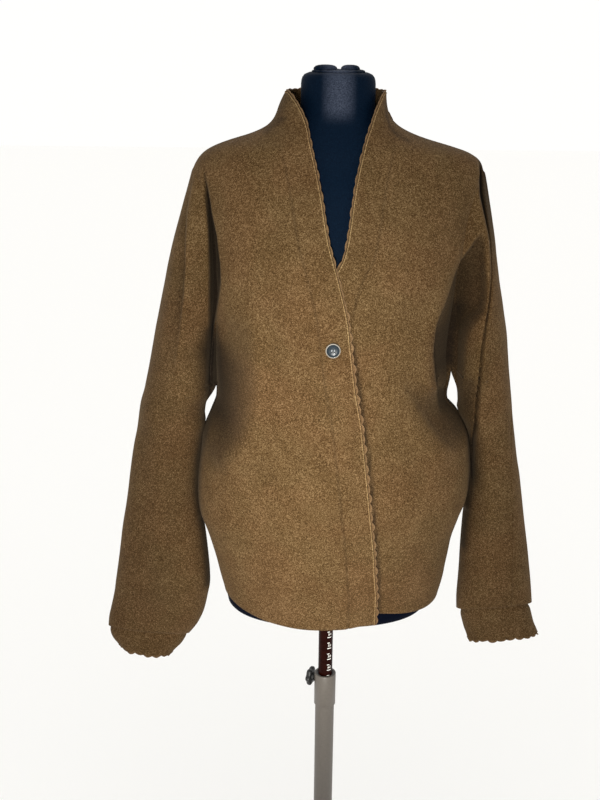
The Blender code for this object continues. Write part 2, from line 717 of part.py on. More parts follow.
def hollow(name, profile, finish, label, steps=ROUND_STEPS):
    """A closed profile that doesn't touch the axis, turned about +Z."""
    rings = []
    for radius, height in profile + profile[:1]:
        rings.append([Vector((radius * math.cos(math.tau * k / steps),
                              radius * math.sin(math.tau * k / steps), height))
                      for k in range(steps)])
    total = steps * len(profile)
    faces = [tuple(k % total for k in face) for face in ring_faces(rings, closed_ends=False)]
    return solid(name, [point for ring in rings[:-1] for point in ring], faces, finish, label)


def cut(target, tool):
    tool.hide_render = True
    tool.display_type = "WIRE"
    boolean = target.modifiers.new("Cut", "BOOLEAN")
    boolean.object = tool


def make_button():
    """A sew-through button with a rim, a dished middle and two holes."""
    half_width, body_depth, power = (read(BODY, column, BUTTON_Z)
                                     for column in ("right", "front", "power"))
    depth = arc_depth(BUTTON_X, half_width, body_depth, power)
    front = depth + OVERLAP_LIFT + fold_rise("front_right", BUTTON_X, BUTTON_Z)
    at = Vector((BUTTON_X + JACKET_SIDE, -front - BUTTON_STANDOFF, BUTTON_Z))
    axis = Vector((0, -1, 0))
    edge, height = BUTTON_RADIUS, BUTTON_HEIGHT
    profile = [(edge * 0.62, 0.0), (edge * 0.93, height * 0.30), (edge, height * 0.62),
               (edge * 0.97, height * 0.92), (edge * 0.88, height), (edge * 0.79, height * 0.90),
               (edge * 0.66, height * 0.62), (edge * 0.30, height * 0.50)]
    button = turned("button", profile, HORN, "horn", steps=24, axis=axis, at=at)
    for turn in (-1, 1):
        shift = Vector((turn * BUTTON_HOLE_RING * 0.7, 0, turn * BUTTON_HOLE_RING * 0.7))
        hole = turned("button_hole_%d" % turn, [(BUTTON_HOLE, -height), (BUTTON_HOLE, 2 * height)],
                      HORN, "horn", steps=12, axis=axis, at=at + shift)
        cut(button, hole)


def form_ring(row, steps=FORM_COLUMNS):
    points = []
    for k in range(steps):
        angle = math.tau * k / steps
        x, y = arc_point(row.half_width, 1.0, FORM_POWER, angle)
        ahead = math.cos(angle) >= 0
        points.append(Vector((x, -y * row.front if ahead else y * row.back, row.z)))
    return points


def make_form():
    """The torso: smooth rings from the neck down, with the pole's socket in its underside."""
    rings = [form_ring(row) for row in FORM]
    for z in (FORM[-1].z, SOCKET_TOP):
        rings.append(form_ring(Ring(z, BORE_RADIUS, BORE_RADIUS, BORE_RADIUS)))
    solid("form_torso", [point for ring in rings for point in ring],
          ring_faces(rings), JERSEY, "jersey")


def make_gather():
    """The jersey cover's two gathered lumps on the neck's top, on one thin disc."""
    top = FORM[0].z + SEAM
    disc_radius = FORM[0].half_width * 0.92
    made = turned("cover_gather", [(disc_radius, top), (disc_radius * 0.97, top + 0.0022)],
                  JERSEY, "jersey", steps=24)
    for x, radius in GATHER_LOBES:
        profile = [(radius * share, top + 0.0015 + 0.0085 * rise)
                   for share, rise in ((1.0, 0.0), (0.96, 0.45), (0.78, 0.80), (0.45, 1.0))]
        lump = turned("gather_lump", profile, JERSEY, "jersey", steps=16)
        lump.location.x = x
        lump.hide_render = True
        lump.display_type = "WIRE"
        union = made.modifiers.new("Lump", "BOOLEAN")
        union.operation = "UNION"
        union.object = lump


def make_stand():
    """Base plate, outer tube, its collar, the sliding pole and the clamp knob."""
    turned("base_plate", [(BASE_RADIUS - BASE_EDGE, 0.0), (BASE_RADIUS, BASE_EDGE),
                          (BASE_RADIUS, BASE_THICKNESS - BASE_EDGE),
                          (BASE_RADIUS - BASE_EDGE, BASE_THICKNESS)],
           GREY_STEEL, "grey_steel", steps=48)
    foot = BASE_THICKNESS + SEAM
    tube = hollow("tube_lower", [(TUBE_RADIUS, foot), (TUBE_RADIUS, TUBE_TOP),
                                 (BORE_RADIUS, TUBE_TOP), (BORE_RADIUS, foot)],
                  GREY_STEEL, "grey_steel")
    lip = TUBE_TOP + SEAM
    around = TUBE_RADIUS + SEAM
    collar = hollow("tube_collar", [(around + 0.0008, COLLAR_FOOT), (COLLAR_RADIUS, COLLAR_TOP - 0.010),
                                    (COLLAR_RADIUS, COLLAR_TOP - 0.001),
                                    (COLLAR_RADIUS - 0.001, COLLAR_TOP), (BORE_RADIUS, COLLAR_TOP),
                                    (BORE_RADIUS, lip), (around, lip), (around, COLLAR_FOOT)],
                    GREY_STEEL, "grey_steel")
    turned("pole_upper", [(POLE_RADIUS - 0.001, POLE_FOOT), (POLE_RADIUS, POLE_FOOT + 0.001),
                          (POLE_RADIUS, SOCKET_TOP - 0.0013), (POLE_RADIUS - 0.001, SOCKET_TOP - SEAM)],
           RED_STEEL, "red_steel")
    turn = math.radians(KNOB_AZIMUTH)
    axis = Vector((math.cos(turn), math.sin(turn), 0))
    drill = turned("stud_drill", [(STUD_HOLE, 0.0), (STUD_HOLE, 0.040)], GREY_STEEL, "grey_steel",
                   steps=16, axis=axis, at=Vector((0, 0, KNOB_Z)))
    cut(tube, drill)
    cut(collar, drill)
    make_knob(axis)


def make_knob(axis):
    """A lobed knob with its hub and its stud, one turned and one drawn ring at a time."""
    hub = COLLAR_RADIUS + KNOB_GAP
    tip = POLE_RADIUS + SEAM
    rings = []
    profile = [(0.0022, tip, 0.0), (STUD_RADIUS, tip + 0.001, 0.0), (STUD_RADIUS, hub, 0.0),
               (KNOB_HUB_RADIUS, hub, 0.0), (KNOB_HUB_RADIUS, hub + 0.003, 0.0),
               (KNOB_RADIUS * 0.90, hub + 0.0035, 1.0), (KNOB_RADIUS, hub + 0.005, 1.0),
               (KNOB_RADIUS, hub + KNOB_LENGTH - 0.002, 1.0),
               (KNOB_RADIUS * 0.88, hub + KNOB_LENGTH, 1.0),
               (KNOB_RADIUS * 0.40, hub + KNOB_LENGTH + 0.0008, 0.0)]
    for radius, height, lobed in profile:
        ring = []
        for k in range(KNOB_STEPS):
            angle = math.tau * k / KNOB_STEPS
            reach = radius * (1.0 - KNOB_DIP * lobed * (1.0 - math.cos(KNOB_LOBES * angle)))
            ring.append(Vector((reach * math.cos(angle), reach * math.sin(angle), height)))
        rings.append(ring)
    knob = solid("clamp_knob", [point for ring in rings for point in ring],
                 ring_faces(rings), BLACK_PLASTIC, "black_plastic")
    place(knob, axis, Vector((0, 0, KNOB_Z)))


def main():
    for old in list(bpy.data.objects):
        bpy.data.objects.remove(old, do_unlink=True)
    for side in ("right", "left"):
        make_edging("edging_" + side, make_front(side))
        make_edging("edging_cuff_" + side, make_cuff(side), closed=True)
    make_edging("edging_collar", make_back())
    make_button()
    make_form()
    make_gather()
    make_stand()


main()
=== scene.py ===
"""Looks of the wool jacket on its dress form and pole stand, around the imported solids.

Metres, +Z up, the jacket's front towards -Y and the wearer's right at -X. The cloth
pieces are worked out from the same level sections as the solids, with finer columns.
"""
import math
from bisect import bisect_right
from collections import namedtuple

import bmesh
import bpy
import numpy as np
from mathutils import Matrix, Vector, noise
from mathutils.bvhtree import BVHTree

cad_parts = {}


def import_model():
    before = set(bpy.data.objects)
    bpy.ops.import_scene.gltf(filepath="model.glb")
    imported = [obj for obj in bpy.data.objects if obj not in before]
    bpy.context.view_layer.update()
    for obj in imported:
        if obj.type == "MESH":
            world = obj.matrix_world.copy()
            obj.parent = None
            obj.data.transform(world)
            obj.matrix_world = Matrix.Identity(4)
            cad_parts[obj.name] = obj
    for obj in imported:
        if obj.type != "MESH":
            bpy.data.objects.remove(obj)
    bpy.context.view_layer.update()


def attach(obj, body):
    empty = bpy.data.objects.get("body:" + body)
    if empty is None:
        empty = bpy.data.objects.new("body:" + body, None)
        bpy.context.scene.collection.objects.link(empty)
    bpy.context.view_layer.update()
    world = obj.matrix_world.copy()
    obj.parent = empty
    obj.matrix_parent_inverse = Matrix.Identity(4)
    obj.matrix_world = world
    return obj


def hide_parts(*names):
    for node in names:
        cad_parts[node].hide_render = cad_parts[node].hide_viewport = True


# Cloth
CLOTH = 0.0025
SEAM = 0.0003
HEM_LEVEL = 0.690
HEM_BLEND = 0.100
JACKET_SIDE = 0.0035
PLAIN_SPLIT = 0.86
FOLD_FADE = 0.035
SLEEVE_POWER = 2.2
SLEEVE_END_BLEND = 0.140
SLEEVE_END_RISE_OUT = 0.0065
SLEEVE_END_RISE_FRONT = 0.0170
OVERLAP_LIFT = 0.0034
LIFT_FROM = 0.095
LIFT_TO = 0.045
ARC_STEPS = 240
ARC_LIMIT = 0.9998
SLEEVE_CLEAR = 1.002
HALVINGS = 40
RIM_OUT = 0.0007
SEAM_PLANE = 0.002

# Limits: beyond every blend, no distance, no length and equal heights
FAR = 1.0
NO_DISTANCE = 1e-9
TINY = 1e-12
SAME_LEVEL = 1e-6

# Fine grid: distances from a front's edge, and how many even columns and rows follow
EDGE_COLUMNS = (0.0, 0.0015, 0.0035, 0.0055, 0.0075, 0.0110, 0.0170, 0.0240, 0.0310,
                0.0360, 0.0384, 0.0400, 0.0416, 0.0440, 0.0500)
EDGE_ROOM = 0.120
SEAM_COLUMNS = (0.0060, 0.0026, 0.0)
FRONT_COLUMNS = 68
BACK_COLUMNS = 40
FRONT_SLEEVE_COLUMNS = 68
BACK_SLEEVE_COLUMNS = 28
BODY_CROWDING = 1.4
SLEEVE_CROWDING = 1.3
SHOULDER_STEPS = 5
CHEST_ROWS = 66
PIT_ROWS = 6
PIT_STEPS = 8
PIT_CROWDING = 2.4
SKIRT_ROWS = 66
SLEEVE_ROWS = 80
FACING = 0.0400
FACING_TOP = 1.42
LINE_FADE = 0.06
GROOVE = 0.0012
GROOVE_WIDTH = 0.0030
OPEN_SEAM_ACROSS = (0.212, 0.235)
OPEN_SEAM_UP = (1.15, 1.25)
VALLEY_REACH = 0.022
FRONT_ROUNDS = 4
BACK_ROUNDS = 24
UNEVEN = 0.0011
BROAD_WOBBLE = 15.0
FINE_WOBBLE = 33.0
CALM_REACH = 0.03
TOUCH_GAP = -0.0005
TOUCH_BLEND = 0.018
FULL_SHADE_DEPTH = 0.010
CREASE_FLOOR = 0.014
UNDERARM_FADE = 0.030
# Painted shade along the facing's stitch groove: its darkness and half width
FACING_SHADE = 0.22
FACING_SHADE_WIDTH = 0.0016

# Lines pressed into a front: distance from its edge, depth, width, height of the upper end
FRONT_GROOVES = ((FACING, 0.0012, 0.0014, FACING_TOP), (0.0055, 0.0004, 0.0012, 1.46))

# Edging
SCALLOP_LENGTH = 0.015
SCALLOP_STEPS = 14
EDGING_ROOT = 0.0022
EDGING_BULGE = 0.0021
EDGING_START = 0.0007
EDGING_HALF = 0.0010
EDGING_CURL = 0.0012
EDGING_SIDES = 10
EDGING_POWER = 0.8
LOW_BULGE = 1.7
BULGE_LOSS = 0.9
BULGE_BLEND = (1.15, 1.22)
SCALLOP_MEAN = 0.80
SCALLOP_UNEVEN = 0.30
RIDGE_RADIUS = 0.0008
RIDGE_HALF = 0.00064
RIDGE_IN = 0.0007
RIDGE_WAVE = 0.0002

# Cuffs; a mouth's waves are given by their size, number round it and start
CUFF_COLUMNS = 144
CUFF_ROWS = 30
CUFF_WAVE = 0.010
MOUTH_WAVES = ((0.016, 5, 1.0), (0.014, 9, 2.0))
MOUTH_RISE = 0.0010
CUFF_FLARE = 0.026
CUFF_TUCK = {"right": 0.030, "left": 0.055}
CUFF_TUCK_REACH = 0.0075
CUFF_LAP = 0.0018
CUFF_LAP_SLANT = 0.20
CUFF_STITCH_UP = 0.012
CUFF_STITCH_DEPTH = 0.0005
CUFF_STITCH_WIDTH = 0.0016
CUFF_CORNER = {"right": 0.0070, "left": 0.0040}

# Button: profile in shares of its radius and height, thread in shares of its way, with Y and Z
BUTTON_X = -0.005
BUTTON_Z = 1.129
BUTTON_RADIUS = 0.0103
BUTTON_HEIGHT = 0.0042
BUTTON_STANDOFF = 0.0009
BUTTON_PROFILE = ((0.55, 0.0), (0.85, 0.10), (0.96, 0.34), (1.0, 0.60), (0.985, 0.82), (0.94, 0.96),
                  (0.88, 1.0), (0.82, 0.95), (0.77, 0.82), (0.70, 0.66), (0.56, 0.56), (0.30, 0.50),
                  (0.04, 0.50))
# Painted highlight on the button rim's front crest: from these shares of its radius and height
HIGHLIGHT_FROM = 0.87
HIGHLIGHT_ABOVE = 0.70
HOLE_PLACE = 0.0017
HOLE_RADIUS = 0.00075
THREAD_RADIUS = 0.00026
STRAND_GAP = 0.00022
THREAD_PATH = ((0.0, 0.0016, 0.0), (0.0, 0.0001, 0.0002), (0.5, -0.0006, 0.0),
               (1.0, 0.0001, -0.0002), (1.0, 0.0016, 0.0))

# Dress form and stand
LATHE_STEPS = 64
NECK_SHIFT = 0.0030
NECK_BLEND = (1.405, 1.430)
POLE_RADIUS = 0.0115
POLE_FOOT = 0.215
SOCKET_TOP = 0.7550
TUBE_RADIUS = 0.0155
BORE_RADIUS = 0.0118
TUBE_TOP = 0.5390
COLLAR_FOOT = 0.4850
COLLAR_TOP = 0.5430
COLLAR_RADIUS = 0.0174
BASE_RADIUS = 0.180
BASE_THICKNESS = 0.0060
KNOB_Z = 0.5290
KNOB_AZIMUTH = 155.0
KNOB_RADIUS = 0.0155
KNOB_LENGTH = 0.0110
KNOB_STEPS = 96
LOBE_DEPTH = 0.085

# Gathered jersey: disc of radii and heights, bunches of place, radius and pleats, and their profile
GATHER_DISC = ((0.0368, 0.0), (0.0362, 0.0016), (0.0335, 0.0026), (0.0300, 0.0030))
DISC_STEPS = 96
DISC_PLEAT = 0.012
GATHER_LUMPS = ((-0.0150, 0.0150, 9), (0.0190, 0.0122, 7))
LUMP_PROFILE = ((1.0, 0.0), (1.02, 0.25), (0.97, 0.5), (0.84, 0.76), (0.62, 0.93), (0.34, 1.0),
                (0.08, 1.0))
LUMP_STEPS = 48
LUMP_PLEAT = 0.09
LUMP_STRETCH = 1.25
LUMP_FOOT = 0.0026
LUMP_HEIGHT = 0.0070

# Pole's scale: metres along the pole, and angles round it
SCALE_FOOT = 0.5120
MARKS = 26
MARK_STEP = 0.010
MARK_HEIGHT = 0.0013
MARK_START = 0.22
LONG_MARK = 0.62
SHORT_MARK = 0.34
MARK_COLUMNS = 6
FIRST_FIGURE = 64
FIGURE_SIZE = 0.0062
FIGURE_LIFT = 0.0040
FIGURE_ANGLE = 0.56

# Stage, light and camera
FLOOR_REACH = 14.0
KEY_PLACE = (-0.14, -2.00, 1.03)
KEY_TARGET = (-0.03, 0.0, 0.94)
KEY_SIZE = (0.24, 0.80)
KEY_POWER = 2.45
CAMERA_PLACE = (-0.0455, -1.6, 1.54)
CAMERA_PITCH = math.radians(18.3)
CAMERA_ROLL = math.radians(0.556)
SENSOR = 36.0
LENS = 50.4

# Colours: dark, middle and light wool, and the jersey's
WOOL_TONES = ((0.0205, 0.0098, 0.0027), (0.0605, 0.0335, 0.0122), (0.145, 0.0930, 0.0455))
WOOL_TINTS = ((0.40, (0.98, 1.00, 0.98)), (0.62, (1.02, 0.98, 0.97)))
# Painted shade: the near-black that the shade mark mixes into the wool
PAINTED_SHADE_WOOL = (0.0030, 0.0022, 0.0018, 1.0)
EDGING_TONES = ((0.030, 0.016, 0.0060), (0.078, 0.044, 0.018), (0.175, 0.110, 0.053))
# Painted highlight on the scallops' outer rims
EDGING_TIP_HIGHLIGHT = (0.150, 0.093, 0.050, 1.0)
# Painted highlight: the lighter wool of the narrow ridge along the edges
RIDGE_HIGHLIGHT_TONES = ((0.060, 0.036, 0.014), (0.160, 0.101, 0.045), (0.300, 0.205, 0.105))
JERSEY_TONES = ((0.35, (0.0004, 0.0026, 0.0080)), (0.58, (0.0010, 0.0058, 0.0150)),
                (0.72, (0.0050, 0.0120, 0.0240)))
# Painted shade: the jersey darker below the jacket's hem
SHADE_UNDER_HEM = ((0.70, (0.35, 0.25, 0.40)), (0.82, (1.0, 1.0, 1.0)))
# Painted highlight on the neck's front: its colour, half width and heights
NECK_HIGHLIGHT_JERSEY = (0.048, 0.058, 0.086, 1.0)
NECK_HIGHLIGHT_HALF_WIDTH = 0.024
NECK_HIGHLIGHT_HEIGHTS = (1.416, 1.446)

# Plain finishes
Paint = namedtuple("Paint", "colour roughness coat speckle scale gloss",
                   defaults=(0.0, 0.12, 260.0, 0.5))
PAINTS = {
    "horn": Paint((0.010, 0.016, 0.022), 0.34, coat=0.05, gloss=0.25),
    "horn_rim_highlight": Paint((0.21, 0.19, 0.16), 0.40, gloss=0.3),
    "thread": Paint((0.33, 0.36, 0.38), 0.8),
    "grey_steel": Paint((0.102, 0.089, 0.076), 0.42, speckle=0.08, gloss=0.4),
    "red_steel": Paint((0.0105, 0.0015, 0.0007), 0.28, speckle=0.25, scale=120.0, gloss=0.05),
    "black_plastic": Paint((0.010, 0.010, 0.010), 0.45),
    "scale_paint": Paint((0.75, 0.74, 0.70), 0.5)}

# Body sections: height, half-widths on the wearer's right and left, depths, roundness
Section = namedtuple("Section", "z right left front back power")
BODY = [Section(*row) for row in (
    (0.6880, 0.1650, 0.1710, 0.1180, 0.1180, 2.4),
    (0.7150, 0.1705, 0.1765, 0.1215, 0.1220, 2.4),
    (0.7580, 0.1780, 0.1810, 0.1270, 0.1275, 2.4),
    (0.8050, 0.1895, 0.1880, 0.1315, 0.1320, 2.4),
    (0.8400, 0.2020, 0.1985, 0.1350, 0.1345, 2.4),
    (0.8675, 0.2045, 0.2080, 0.1365, 0.1345, 2.4),
    (0.9050, 0.2025, 0.2105, 0.1370, 0.1300, 2.4),
    (0.9400, 0.1978, 0.2085, 0.1360, 0.1240, 2.4),
    (0.9680, 0.1942, 0.2035, 0.1350, 0.1190, 2.4),
    (0.9950, 0.1835, 0.1905, 0.1350, 0.1160, 2.4),
    (1.0200, 0.1745, 0.1700, 0.1355, 0.1150, 2.4),
    (1.0600, 0.1740, 0.1740, 0.1370, 0.1160, 2.4),
    (1.1300, 0.1755, 0.1765, 0.1385, 0.1210, 2.4),
    (1.2000, 0.1780, 0.1800, 0.1365, 0.1240, 2.4),
    (1.2500, 0.1820, 0.1850, 0.1300, 0.1210, 2.4),
    (1.3000, 0.1910, 0.1960, 0.1140, 0.1150, 2.4),
    (1.3340, 0.2000, 0.2045, 0.1010, 0.1090, 2.4),
    (1.3520, 0.2025, 0.2050, 0.0935, 0.1045, 2.4),
    (1.3680, 0.1950, 0.1995, 0.0865, 0.0995, 2.4),
    (1.3790, 0.1835, 0.1835, 0.0815, 0.0950, 2.4),
    (1.3880, 0.1645, 0.1545, 0.0780, 0.0910, 2.4),
    (1.3960, 0.1385, 0.1260, 0.0745, 0.0870, 2.3),
    (1.4040, 0.1160, 0.1040, 0.0715, 0.0830, 2.2),
    (1.4130, 0.0980, 0.0860, 0.0690, 0.0780, 2.1),
    (1.4250, 0.0880, 0.0735, 0.0670, 0.0720, 2.1),
    (1.4380, 0.0835, 0.0685, 0.0640, 0.0670, 2.1),
    (1.4500, 0.0785, 0.0665, 0.0600, 0.0640, 2.1),
    (1.4590, 0.0735, 0.0660, 0.0580, 0.0625, 2.1))]
SHOULDER_LEVELS = [row.z for row in BODY if row.z >= 1.3340]

# Sleeve sections: height, nearest and farthest distance from the middle, half depth
Sleeve = namedtuple("Sleeve", "z inner outer depth")
SLEEVES = {
    "right": [Sleeve(*row) for row in (
        (0.6210, 0.2230, 0.3535, 0.0430),
        (0.6380, 0.2105, 0.3515, 0.0470),
        (0.6600, 0.2000, 0.3465, 0.0500),
        (0.6885, 0.1928, 0.3405, 0.0530),
        (0.7100, 0.1890, 0.3375, 0.0560),
        (0.7590, 0.1916, 0.3300, 0.0560),
        (0.8050, 0.1965, 0.3232, 0.0550),
        (0.8425, 0.2055, 0.3162, 0.0540),
        (0.8675, 0.2075, 0.3120, 0.0540),
        (0.9050, 0.2060, 0.3065, 0.0550),
        (0.9435, 0.2000, 0.2998, 0.0560),
        (0.9680, 0.1945, 0.2945, 0.0580),
        (1.0080, 0.1895, 0.2880, 0.0640),
        (1.0350, 0.1745, 0.2800, 0.0690),
        (1.1300, 0.1660, 0.2604, 0.0730),
        (1.2000, 0.1600, 0.2450, 0.0690),
        (1.2500, 0.1570, 0.2335, 0.0640),
        (1.3000, 0.1540, 0.2190, 0.0550),
        (1.3340, 0.1520, 0.2090, 0.0460),
        (1.3520, 0.1500, 0.2040, 0.0400))],
    "left": [Sleeve(*row) for row in (
        (0.6700, 0.2050, 0.3235, 0.0430),
        (0.6940, 0.2040, 0.3205, 0.0480),
        (0.7230, 0.2050, 0.3165, 0.0520),
        (0.7800, 0.2055, 0.3080, 0.0530),
        (0.8240, 0.2065, 0.3005, 0.0530),
        (0.8620, 0.2090, 0.2940, 0.0530),
        (0.8990, 0.2105, 0.2875, 0.0530),
        (0.9300, 0.2070, 0.2810, 0.0540),
        (0.9655, 0.1995, 0.2750, 0.0560),
        (0.9960, 0.1908, 0.2700, 0.0580),
        (1.0300, 0.1866, 0.2650, 0.0630),
        (1.0650, 0.1740, 0.2600, 0.0680),
        (1.1300, 0.1690, 0.2510, 0.0700),
        (1.2000, 0.1640, 0.2370, 0.0670),
        (1.2500, 0.1600, 0.2280, 0.0620),
        (1.3000, 0.1560, 0.2190, 0.0540),
        (1.3340, 0.1520, 0.2120, 0.0460),
        (1.3520, 0.1500, 0.2080, 0.0400))]}
CUFFS = {
    "right": [Sleeve(*row) for row in (
        (0.5780, 0.2520, 0.3360, 0.0365),
        (0.5920, 0.2430, 0.3440, 0.0380),
        (0.6060, 0.2345, 0.3500, 0.0390),
        (0.6196, 0.2270, 0.3520, 0.0400),
        (0.6320, 0.2235, 0.3480, 0.0400))],
    "left": [Sleeve(*row) for row in (
        (0.6120, 0.2255, 0.3350, 0.0370),
        (0.6310, 0.2205, 0.3300, 0.0385),
        (0.6500, 0.2150, 0.3245, 0.0395),
        (0.6686, 0.2100, 0.3195, 0.0400),
        (0.6800, 0.2085, 0.3175, 0.0400))]}
UNDERARM = {"right": 1.0350, "left": 1.0650}
SLEEVE_END = {"right": 0.6210, "left": 0.6700}
TOUCHING = {"right": (0.8350, 0.9700), "left": (0.8550, 0.9900)}
SIGN = {"right": -1.0, "left": 1.0}

# Neck and front edges: height, distance from the middle on the panel's own side
Edge = namedtuple("Edge", "z x")
EDGES = {
    "right": [Edge(*row) for row in (
        (0.6880, -0.0660), (0.7444, -0.0655), (0.7799, -0.0625), (0.8295, -0.0585),
        (0.8788, -0.0525), (0.9270, -0.0470), (0.9735, -0.0412), (1.0191, -0.0355),
        (1.0709, -0.0260), (1.1274, -0.0184), (1.1700, -0.0128), (1.2242, 0.0005),
        (1.2500, 0.0080), (1.2768, 0.0150), (1.3280, 0.0240), (1.3646, 0.0318),
        (1.3980, 0.0402), (1.4137, 0.0432), (1.4301, 0.0492), (1.4457, 0.0580),
        (1.4530, 0.0640), (1.4570, 0.0675), (1.4590, 0.0700))],
    "left": [Edge(*row) for row in (
        (0.6880, -0.0350), (1.1000, -0.0280), (1.1700, -0.0200), (1.2200, -0.0070),
        (1.2515, 0.0083), (1.2886, 0.0160), (1.3207, 0.0203), (1.3543, 0.0260),
        (1.3860, 0.0336), (1.4021, 0.0380), (1.4163, 0.0437), (1.4292, 0.0480),
        (1.4405, 0.0530), (1.4530, 0.0590), (1.4570, 0.0613), (1.4590, 0.0635))]}

# Hem: place across the body, height
Hem = namedtuple("Hem", "x z")
HEM = {
    "front_right": [Hem(*row) for row in (
        (-0.170, 0.7090), (-0.150, 0.7070), (-0.122, 0.7000), (-0.090, 0.6930),
        (-0.030, 0.6890), (0.020, 0.6905), (0.045, 0.6950), (0.069, 0.6960))],
    "front_left": [Hem(*row) for row in (
        (-0.040, 0.7160), (0.070, 0.7130), (0.110, 0.7070), (0.140, 0.7040),
        (0.160, 0.7050), (0.176, 0.7080))],
    "back": [Hem(*row) for row in (
        (-0.170, 0.7090), (-0.150, 0.7030), (-0.090, 0.6900), (0.000, 0.6860),
        (0.090, 0.6890), (0.150, 0.7010), (0.176, 0.7080))]}

# Large folds: panel, height of the ridge, half width, and its path as (x, z) places
Fold = namedtuple("Fold", "panel rise width path")
FOLDS = [Fold(*row) for row in (
    ("front_right", 0.006, 0.014, ((-0.204, 1.330), (-0.208, 1.250), (-0.213, 1.170), (-0.222, 1.100))),
    ("front_right", 0.009, 0.017, ((-0.113, 1.150), (-0.107, 1.060), (-0.129, 0.986), (-0.158, 0.950))),
    ("front_right", -0.020, 0.024, ((-0.158, 1.130), (-0.152, 1.070), (-0.162, 1.010))),
    ("front_right", 0.004, 0.030, ((-0.060, 1.180), (-0.080, 0.980), (-0.075, 0.760))),
    ("front_right", 0.005, 0.018, ((-0.265, 1.020), (-0.255, 0.880), (-0.262, 0.760))),
    ("front_left", 0.006, 0.014, ((0.196, 1.330), (0.211, 1.250), (0.210, 1.170), (0.204, 1.060))),
    ("front_left", 0.008, 0.016, ((0.180, 1.262), (0.152, 1.204), (0.137, 1.150), (0.138, 1.060))),
    ("front_left", -0.010, 0.022, ((0.172, 1.210), (0.162, 1.130), (0.160, 1.050))),
    ("front_left", 0.005, 0.016, ((0.085, 1.050), (0.125, 1.000), (0.155, 0.962))),
    ("front_left", 0.005, 0.016, ((0.205, 1.020), (0.222, 0.940), (0.240, 0.840))),
    ("back", 0.007, 0.022, ((-0.060, 1.300), (-0.120, 1.180), (-0.160, 1.080))),
    ("back", 0.007, 0.022, ((0.065, 1.290), (0.115, 1.170), (0.158, 1.090))),
    ("back", -0.007, 0.030, ((-0.020, 1.120), (-0.080, 1.040), (-0.140, 0.990))),
    ("back", 0.006, 0.026, ((0.040, 1.150), (0.100, 1.030), (0.165, 0.960))),
    ("back", 0.005, 0.016, ((-0.262, 1.030), (-0.250, 0.900), (-0.268, 0.760))),
    ("back", 0.005, 0.016, ((0.236, 1.040), (0.248, 0.900), (0.262, 0.780))))]

